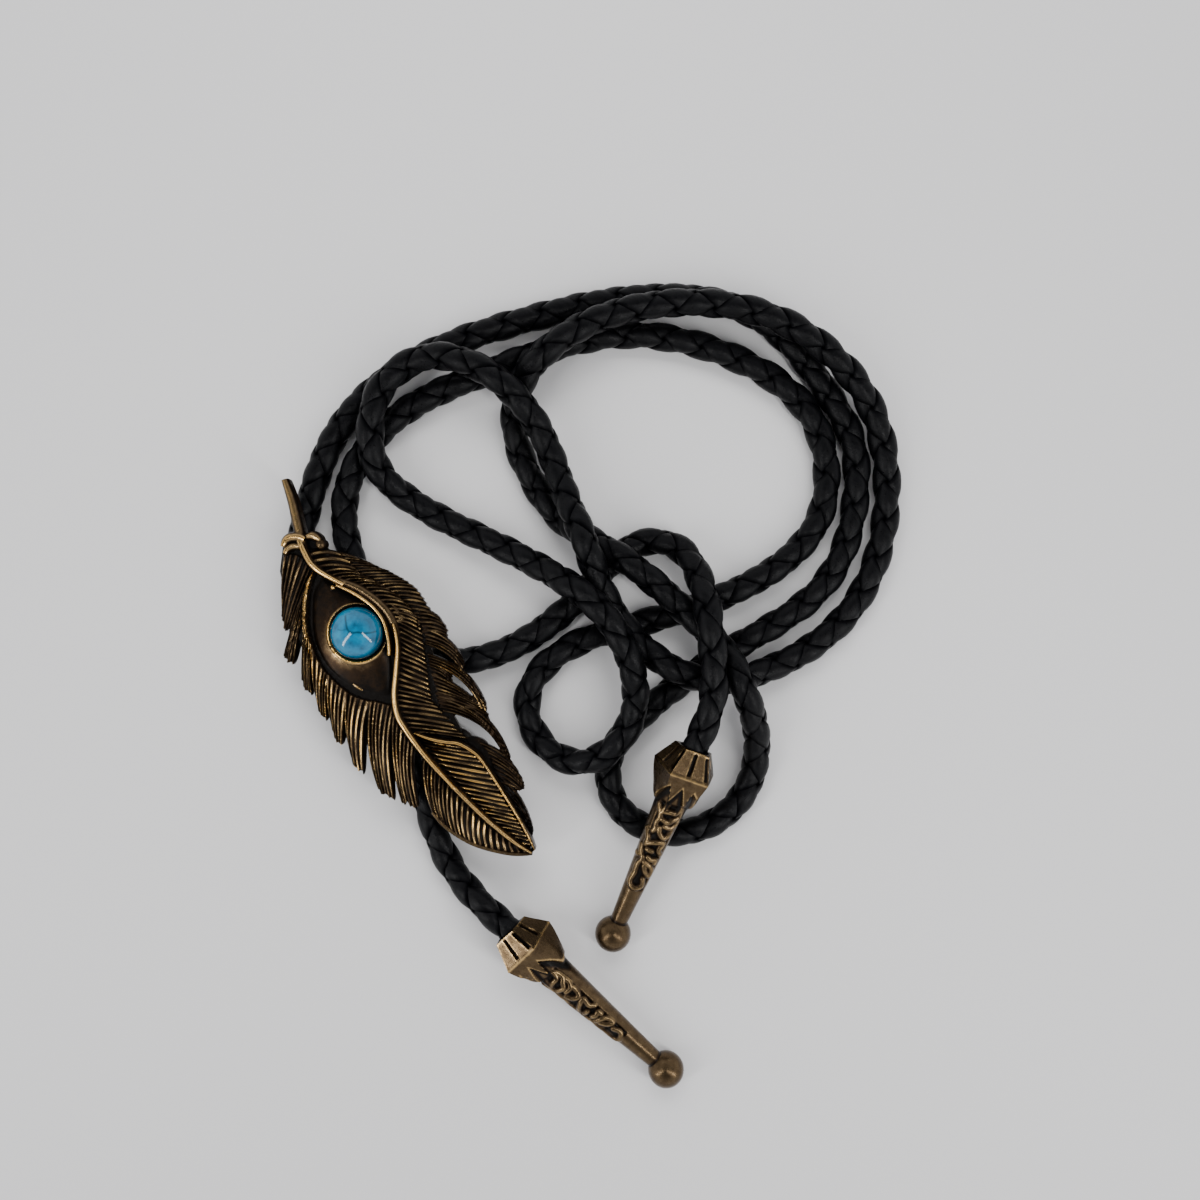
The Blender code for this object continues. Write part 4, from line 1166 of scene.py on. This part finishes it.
    @staticmethod
    def mended(field: Array) -> Array:
        """Fill in pinched corners, which would leave edges that are shared by too many faces.

        Args:
            field: The heights on the grid, which get values at the places that are filled in.

        Returns:
            Which places are inside the casting.
        """
        inside = ~np.isnan(field)
        for _ in range(6):
            cells = inside[:-1, :-1] | inside[1:, :-1] | inside[:-1, 1:] | inside[1:, 1:]
            padded = np.pad(cells, 1)
            a, b, c, d = padded[:-1, :-1], padded[1:, :-1], padded[:-1, 1:], padded[1:, 1:]
            pinched = (a & d & ~b & ~c) | (b & c & ~a & ~d)
            if not pinched.any():
                break
            for i, j in np.argwhere(pinched):
                inside[i, j] = True
                if np.isnan(field[i, j]):
                    around = field[max(i - 1, 0):i + 2, max(j - 1, 0):j + 2]
                    around = around[~np.isnan(around)]
                    field[i, j] = around.min() if len(around) else 0.6
        return inside

    @staticmethod
    def met(start: Array, goal: Array, height: float, below: Finder) -> tuple[float, float, float]:
        """Slide a place inwards until it meets the outline.

        Args:
            start: The place, just outside.
            goal: Where it slides to, inside.
            height: The height to give it if the relief isn't met on the way.
            below: Finds the relief's height under a place.

        Returns:
            Where it meets the outline.
        """
        low, high = 0.0, 1.0
        for _ in range(5):
            middle = (low + high) / 2
            found = below(*(start + (goal - start) * middle))
            if found is None:
                low = middle
            else:
                high, height = middle, found[0]
        return *(start + (goal - start) * min(high, 0.92)), height

    def rubbed(self, field: Array, tone: Array, inside: Array) -> Array:
        """Wear the places that stand above their surroundings brighter, and leave the hollows dark."""
        heights = np.nan_to_num(field)
        for reach, most, strength in self.rubbing:
            above = field - self.blurred(heights, inside, reach / self.pitch)
            tone = tone + strength * np.clip(above, -most, most)
        return np.where(inside, np.clip(tone, 0.0, 1.0), self.plain_wear)

    @staticmethod
    def close(bm: bmesh.types.BMesh, layer: bmesh.types.BMLayerItem) -> None:
        """Let walls down from the open rim and fill in the flat back.

        Args:
            bm: The front of the casting, which gets the walls and the back.
            layer: Where the wear is kept.
        """
        bmesh.ops.recalc_face_normals(bm, faces=bm.faces)
        rim = [edge for edge in bm.edges if edge.is_boundary]
        wall = bmesh.ops.extrude_edge_only(bm, edges=rim)["geom"]
        for item in wall:
            if isinstance(item, bmesh.types.BMVert):
                item.co.z = 0.0
                item[layer] = 0.25
        floor = [item for item in wall if isinstance(item, bmesh.types.BMEdge) and item.is_boundary]
        bmesh.ops.triangle_fill(bm, edges=floor, use_beauty=True, use_dissolve=False)
        bmesh.ops.recalc_face_normals(bm, faces=bm.faces)
        if bm.calc_volume(signed=True) < 0:
            bmesh.ops.reverse_faces(bm, faces=bm.faces)
        LOG.info("feather: %d open edges", sum(not edge.is_manifold for edge in bm.edges))

    def build(self) -> bpy.types.Object:
        """Drop a grid on the relief, trim it to the outline and close it with walls and a flat back."""
        below = self.relief()
        low, high = (self.on_feather((corner,))[0] for corner in self.grid_corners)
        columns, rows = (int(n) for n in np.ceil((high - low) / self.pitch))

        bm = bmesh.new()
        layer = bm.verts.layers.float.new(Mark.WEAR_AND_PAINTED_LIGHT.value)
        bmesh.ops.create_grid(bm, x_segments=columns, y_segments=rows, size=0.5)
        bm.verts.ensure_lookup_table()
        flat = np.array([vert.co.to_tuple() for vert in bm.verts])[:, :2] + 0.5
        across = np.rint(flat * (columns, rows)).astype(int)
        spots = low + flat * (columns * self.pitch, rows * self.pitch)
        heights, tones = self.dropped(spots, below)

        def gridded(values: Array, empty: float) -> Array:
            field = np.full((columns + 1, rows + 1), empty, values.dtype)
            field[across[:, 0], across[:, 1]] = values
            return field

        field = gridded(heights, np.nan)
        tone = gridded(tones, self.plain_wear)
        index_of = gridded(np.arange(len(spots)), 0)
        inside = self.mended(field)

        # The points just outside become the rim
        final = np.column_stack((spots, np.zeros(len(spots))))
        final[index_of[inside], 2] = field[inside]
        steps = [(i, j) for i in (-1, 0, 1) for j in (-1, 0, 1) if i or j]
        skirt = np.zeros_like(inside)
        for step in steps:
            skirt |= np.roll(inside, step, axis=(0, 1))
        skirt &= ~inside
        for i, j in np.argwhere(skirt):
            inner = [index_of[i + di, j + dj] for di, dj in steps
                     if 0 <= i + di <= columns and 0 <= j + dj <= rows and inside[i + di, j + dj]]
            goal = np.mean([spots[k] for k in inner], axis=0)
            lowest = min(final[k][2] for k in inner)
            final[index_of[i, j]] = self.met(spots[index_of[i, j]], goal, lowest, below)
        final[:, 2] = np.maximum(final[:, 2], self.edge_height)

        kept, wear = inside | skirt, self.rubbed(field, tone, inside)
        doomed = []
        for vert, (i, j), spot in zip(bm.verts, across, final.tolist()):
            vert.co = spot
            vert[layer] = float(wear[i, j])
            if not kept[i, j]:
                doomed.append(vert)
        bmesh.ops.delete(bm, geom=doomed, context="VERTS")
        stray = [face for face in bm.faces if all(skirt[tuple(across[v.index])] for v in face.verts)]
        bmesh.ops.delete(bm, geom=stray, context="FACES")
        loose = [vert for vert in bm.verts if not vert.link_faces]
        bmesh.ops.delete(bm, geom=loose, context="VERTS")
        self.close(bm, layer)
        stand = Matrix.Translation((0.0, 0.0, self.back)) @ Matrix.Rotation(math.radians(self.angle), 4, "Z")
        piece = finish_piece(bm, "feather_casting", stand, 62.0)
        hand_over(piece, "feather", AntiqueBrass().material(BRASS_NAME))
        return piece


@dataclass
class Cabochon:
    """The round turquoise dome, with a dark vein in its face and painted shade at its edge and towards its
    upper right.
    """

    slide: FeatherSlide
    diameter: float = 8.35
    height: float = 4.6
    girdle: float = 1.6
    lift: float = 7.05
    chamfer: float = 0.3
    roundness: float = 0.92
    vein_width: float = 0.17
    # How strong the painted shade is towards the upper right, and at the stone's edge
    shade: float = 0.45
    rim_shade: float = 0.8
    # The vein's branches on the stone's face, in millimetres to the right and up from its middle
    veins: Sequence[Rows] = (
        ((-1.3, 2.7), (-1.2, 2.1), (-1.0, 1.2), (-0.85, 0.7), (-0.45, 0.25), (0.1, 0.12), (0.8, 0.2),
         (1.6, 0.05), (2.6, 0.1), (3.4, 0.3)),
        ((-0.6, 0.3), (-0.75, -0.2), (-0.6, -0.7)),
        ((1.5, 0.05), (2.0, -0.35), (2.3, -0.8)),
        ((-1.0, 0.7), (-1.7, 0.5), (-2.4, 0.6)),
    )

    def build(self) -> bpy.types.Object:
        """Shape the dome and mark its vein and its painted shade."""
        radius = self.diameter / 2
        dome = self.height - self.girdle
        turns = np.linspace(0.0, math.pi / 2, 40)
        side = [(0.0, 0.0), (radius - self.chamfer, 0.0), (radius, self.chamfer), (radius, self.girdle)]
        top = [(radius * math.cos(turn) ** self.roundness, self.girdle + dome * math.sin(turn))
               for turn in turns[1:-1]]
        profile = np.array([*side, *top, (0.0, self.height)])
        shares = np.linspace(0.0, 1.0, len(profile))

        def place(u: Array, w: Array) -> tuple[Array, Array]:
            r, z = follow(w, shares, profile).T
            spots = np.column_stack((r * np.cos(math.tau * u), r * np.sin(math.tau * u), z))
            flaw = np.zeros(len(u))
            for index, vein in enumerate(self.veins):
                # The first vein is the main one, and the others branch from it
                width, strength = (self.vein_width, 0.75) if index == 0 else (0.6 * self.vein_width, 0.45)
                gap = distance_to(spots[:, :2], curve_at(np.array(vein), np.linspace(0.0, 1.0, 40)))
                flaw = np.maximum(flaw, (1 - smooth(0.3 * width, 1.6 * width, gap)) * strength)
            flaw = np.where(z > self.girdle / 2, flaw, 0.0)
            # Painted shade: the stone darkens at its edge and towards +X and +Y, in the same mark as the vein
            rim = self.rim_shade * smooth(0.86, 1.0, r / radius)
            corner = spots[:, :2].sum(axis=1) / (math.sqrt(2) * radius)
            shade = self.shade * smooth(0.0, 1.1, corner)
            return spots, np.maximum(np.maximum(flaw, rim), shade)

        bm = bmesh.new()
        add_sheet(bm, 180, len(profile) - 1, place, Mark.VEIN_AND_PAINTED_SHADE)
        weld(bm)
        turn = math.radians(self.slide.angle)
        x, y = self.slide.on_feather((self.slide.stone_seat,))[0]
        spot = (x * math.cos(turn) - y * math.sin(turn), x * math.sin(turn) + y * math.cos(turn), self.lift)
        piece = finish_piece(bm, "turquoise_cabochon", Matrix.Translation(spot), 40.0)
        hand_over(piece, "cabochon", Turquoise().material())
        return piece


# Which part of a tip a row of points is on
BORE, OUTSIDE, BALL = 0.0, 1.0, 2.0


@dataclass
class CastTip:
    """One cast tip: a five-sided ferrule with slots, a toothed collar, a scrolled shaft and a ball."""

    name: str
    node: str
    mouth: tuple[float, float, float]
    ball: tuple[float, float, float]
    front: float
    length: float = 35.8
    bore_radius: float = 2.4
    mouth_at: float = 0.7
    bore_depth: float = 5.2
    sides: int = 5
    corner_at: float = -32.0
    columns: int = 150
    mouth_radius: float = 3.3
    girdle_radius: float = 5.35
    girdle_at: float = 4.9
    shaft_radius: float = 2.7
    neck_radius: float = 1.42
    shaft_from: float = 11.0
    scroll_to: float = 27.0
    collar_to: float = 10.8
    collar_end_radius: float = 3.05
    ball_radius: float = 2.95
    slot_depth: float = 0.6
    slot_width: float = 0.5
    tooth_step: float = 0.7
    panel_depth: float = 0.3
    stroke_rise: float = 0.6
    stroke_width: float = 0.44
    mouth_slant: float = 0.8
    slots: Sequence[float] = (-74.0, -37.0, 0.0, 37.0, 74.0)
    # The collar's lower edge, as (degrees from the front, how far from the mouth)
    collar: Rows = ((0.0, 6.8), (20.0, 10.0), (27.0, 7.0), (70.0, 10.5), (80.0, 10.8), (100.0, 10.3),
                    (180.0, 10.5))
    # The scroll's strokes, as (how far from the mouth, degrees from the front)
    strokes: Sequence[Rows] = (
        ((11.1, -51), (12.3, -32), (13.1, -28), (14.1, -33), (15.1, -28), (15.7, -34)),
        ((10.5, -19), (11.9, -26), (12.3, -32)),
        ((11.9, -26), (11.6, -2), (11.5, 18), (10.7, 29), (9.9, 29)),
        ((13.2, -17), (13.4, 8), (12.7, 23), (12.0, 39), (10.7, 37)),
        ((14.2, 3), (14.2, 26), (13.5, 40), (12.6, 41)),
        ((14.7, -13), (15.6, -4), (16.2, 18), (15.6, 33), (14.5, 36)),
        ((15.9, -62), (17.0, -41), (18.3, -40)),
        ((18.2, -41), (17.5, -12), (17.0, 28), (18.4, 23), (19.2, 39)),
        ((19.0, -25), (19.0, -3)),
        ((18.8, -58), (20.0, -46), (20.7, -29), (21.9, -40), (23.1, -40)),
        ((20.5, -70), (20.3, -42)),
        ((20.2, -8), (20.5, 8), (20.3, 29), (20.9, 31)),
        ((21.2, -15), (21.5, 11), (22.2, 35), (23.4, 36), (22.8, 9), (21.9, -8)),
        ((23.6, -37), (25.2, -45), (26.0, -27), (26.0, 2), (25.3, 25), (24.1, 13)),
    )

    def stations(self) -> Array:
        """List where the rows of points lie: (how far from the mouth, radius, which part they are on)."""
        stops = ((self.mouth_at, 0), (self.girdle_at, 30), (self.shaft_from, 48), (self.scroll_to, 118),
                 (self.neck_at(), 26))
        outer = np.concatenate([np.linspace(a, b, n)[1:] for (a, _), (b, n) in zip(stops, stops[1:])])
        outside = np.column_stack((outer, np.zeros(len(outer)), np.full(len(outer), OUTSIDE)))
        start = math.asin(self.neck_radius / self.ball_radius)
        turns = np.linspace(start, math.pi, 44)[1:]
        ball = np.column_stack((self.length - self.ball_radius * np.cos(turns),
                                self.ball_radius * np.sin(turns), np.full(len(turns), BALL)))
        inner = [(self.bore_depth, 0.0, BORE), (self.bore_depth, self.bore_radius, BORE),
                 (self.mouth_at + 0.1, self.bore_radius, BORE),
                 (self.mouth_at, self.bore_radius + 0.08, BORE),
                 (self.mouth_at, self.mouth_radius - 0.15, BORE)]
        return np.vstack((inner, [(self.mouth_at + 0.05, 0.0, OUTSIDE)], outside, ball))

    def neck_at(self) -> float:
        """Say how far from the mouth the shaft meets the ball."""
        return self.length - math.sqrt(self.ball_radius ** 2 - self.neck_radius ** 2)

    def facets(self, turn: Array) -> Array:
        """Give the ferrule's flat-sided outline as a share of the radius at its corners.

        Args:
            turn: Degrees from the front.

        Returns:
            The share at each turn.
        """
        facet = 360.0 / self.sides
        bend = np.radians((turn - self.corner_at) % facet - facet / 2)
        return math.cos(math.pi / self.sides) / np.cos(bend)

    def stepped(self, s: Array, turn: Array) -> tuple[Array, Array, Array]:
        """Work out the ferrule, its toothed collar and the bare shaft.

        Args:
            s: How far from the mouth.
            turn: Degrees from the front.

        Returns:
            The radius, the wear and how far each place is on the collar.
        """
        flat = self.facets(turn)
        upper = self.mouth_radius + (self.girdle_radius - self.mouth_radius) * (s - self.mouth_at) / (
            self.girdle_at - self.mouth_at)
        drop = np.clip((s - self.girdle_at) / (self.collar_to - self.girdle_at), 0.0, 1.0)
        lower = self.girdle_radius - (self.girdle_radius - self.collar_end_radius) * (
            0.55 * drop + 0.45 * drop ** 2)
        round_share = smooth(6.0, 10.4, s)
        shape = flat + (1.0 - 0.06 * (1 - round_share) - flat) * round_share
        collar = np.where(s <= self.girdle_at, upper * flat, lower * shape)
        taper = np.clip((s - self.shaft_from) / (self.neck_at() - self.shaft_from), 0.0, 1.0)
        shaft = self.shaft_radius + (self.neck_radius - self.shaft_radius) * taper ** 0.9
        core = np.where(s < self.shaft_from, shaft + (1.0 * flat + 0.25) * (1 - smooth(5.5, 11.6, s)), shaft)

        rows = np.array(self.collar)
        past = s - np.interp(np.abs(turn), rows[:, 0], rows[:, 1])
        on_collar = 1 - smooth(-0.16, 0.16, past)
        proud = np.where(s < self.girdle_at, collar, np.maximum(collar, core + self.tooth_step * 0.5))
        wear = np.full(len(s), 0.43)
        wear += 0.28 * np.exp(-((past + 0.3) / 0.28) ** 2) * (np.abs(turn) < 95)
        wear -= 0.5 * smooth(-0.1, 0.25, past) * (1 - smooth(0.6, 2.4, past)) * (np.abs(turn) < 110)
        return core + (proud - core) * on_collar, wear, on_collar

    def slotted(self, s: Array, turn: Array, radius: Array, wear: Array) -> tuple[Array, Array]:
        """Cut the slots into the ferrule and wear its edges bright.

        Args:
            s: How far from the mouth.
            turn: Degrees from the front.
            radius: The radius before.
            wear: The wear before.

        Returns:
            The radius and the wear.
        """
        gap = np.full(len(s), 9.0)
        for slot in self.slots:
            gap = np.minimum(gap, np.abs(np.radians((turn - slot + 180.0) % 360.0 - 180.0)) * radius)
        cut = (1 - smooth(0.42 * self.slot_width, 0.62 * self.slot_width, gap))
        cut *= smooth(1.1, 1.25, s) * (1 - smooth(self.girdle_at - 0.6, self.girdle_at - 0.45, s))
        lips = smooth(0.3, 0.42, gap) * (1 - smooth(0.42, 0.62, gap))
        girdle = np.exp(-((s - self.girdle_at) / 0.2) ** 2)
        wear = wear - 0.75 * cut + 0.2 * (s < self.girdle_at) * (1 - cut) * lips
        wear += 0.3 * girdle + 0.2 * np.exp(-((s - self.mouth_at) / 0.3) ** 2)
        return radius - self.slot_depth * cut + 0.06 * girdle, wear

    def stroke_gap(self, s: Array, turn: Array, radius: Array) -> Array:
        """Measure how far each place on the shaft is from the nearest stroke of the scroll.

        Args:
            s: How far from the mouth.
            turn: Degrees from the front.
            radius: The radius.

        Returns:
            The distances, which stop at 9 mm.
        """
        plane = np.column_stack((s, np.radians(turn) * np.minimum(radius, 2.8)))
        reach = np.full(len(s), 9.0)
        for stroke in self.strokes:
            rows = np.array(stroke, float)
            size = np.interp(rows[:, 0], (11.0, 32.0), (self.shaft_radius, self.neck_radius))
            rows = np.column_stack((rows[:, 0], np.radians(rows[:, 1]) * size))
            line = curve_at(rows, np.linspace(0.0, 1.0, 8 * len(rows)))
            close = (s > line[:, 0].min() - 1.5) & (s < line[:, 0].max() + 1.5) & (np.abs(turn) < 110)
            reach[close] = np.minimum(reach[close], distance_to(plane[close], line))
        return reach

    def outside(self, s: Array, turn: Array) -> tuple[Array, Array]:
        """Work out the radius and the wear of the tip's outside.

        Args:
            s: How far from the mouth.
            turn: Degrees from the front.

        Returns:
            The radius and the wear.
        """
        turn = (turn + 180.0) % 360.0 - 180.0
        radius, wear, on_collar = self.stepped(s, turn)
        radius, wear = self.slotted(s, turn, radius, wear)
        reach = self.stroke_gap(s, turn, radius)
        panel = smooth(9.9, 10.6, s) * (1 - smooth(26.2, 26.5, s)) * (1 - smooth(41.0, 50.0, np.abs(turn)))
        panel *= 1 - on_collar
        stroke = np.sqrt(np.clip(1 - (reach / (1.25 * self.stroke_width)) ** 2, 0.0, 1.0))
        stroke *= smooth(9.9, 10.3, s)
        radius = radius - self.panel_depth * panel + self.stroke_rise * stroke * (0.45 + 0.55 * panel)
        wear = np.where(panel > 0.02, wear - 0.38 * panel, wear) + 0.5 * stroke ** 1.4 * (0.3 + 0.7 * panel)
        wear -= 0.35 * np.exp(-((s - self.neck_at()) / 0.4) ** 2)
        return radius, np.clip(wear, 0.0, 1.0)

    def build(self) -> bpy.types.Object:
        """Shape the tip along its axis and set it in its place."""
        stations = self.stations()
        count = len(stations) - 1

        def place(u: Array, w: Array) -> tuple[Array, Array]:
            row = np.rint(w * count).astype(int)
            s, radius, kind = stations[row].T
            turn = self.corner_at + 360.0 * u
            out, wear = self.outside(s, turn)
            on_rim = (kind == BORE) & (radius > self.bore_radius + 0.2)
            r = np.where(on_rim, radius * self.facets(turn), np.where(kind == OUTSIDE, out, radius))
            back = 0.5 - 0.5 * np.cos(np.radians(turn))
            s = s + self.mouth_slant * back * (1 - smooth(self.mouth_at, self.girdle_at, s))
            worn = np.where(kind == OUTSIDE, wear, np.where(kind == BALL, 0.42, 0.15))
            angle = np.radians(turn + self.front)
            return np.column_stack((s, r * np.sin(angle), r * np.cos(angle))), worn

        bm = bmesh.new()
        add_sheet(bm, self.columns, count, place, Mark.WEAR_AND_PAINTED_LIGHT)
        weld(bm)
        start, end = Vector(self.mouth), Vector(self.ball)
        along = (end - start).normalized()
        across = Vector((0.0, 0.0, 1.0)).cross(along).normalized()
        up = along.cross(across)
        stand = Matrix.Translation(start) @ Matrix((along, across, up)).transposed().to_4x4()
        piece = finish_piece(bm, self.name, stand, 40.0)
        material = bpy.data.materials.get(BRASS_NAME) or AntiqueBrass().material(BRASS_NAME)
        hand_over(piece, self.node, material)
        return piece


@dataclass
class BackClip:
    """The clip behind the slide keeps its CAD shape and gets a dull brass finish."""

    node: str = "back_clip"

    def dress(self) -> None:
        """Give the clip its finish."""
        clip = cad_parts[self.node]
        clip.data.materials.clear()
        clip.data.materials.append(AntiqueBrass().material("dull clip brass", None))
        LOG.info("%s: dressed", clip.name)


def main() -> None:
    """Build the studio and the tie."""
    logging.basicConfig(level=logging.INFO, format="%(name)s %(message)s")
    Studio().build()
    BraidedCord().build()
    slide = FeatherSlide()
    slide.build()
    Cabochon(slide).build()
    BackClip().dress()
    CastTip("upper_tip", "tip_a", (55.0, -17.7, 11.0), (41.6, -50.5, 3.0), 5.0).build()
    CastTip("lower_tip", "tip_b", (24.2, -48.15, 5.35), (50.3, -72.15, 2.97), -22.0).build()


if __name__ == "__main__":
    main()
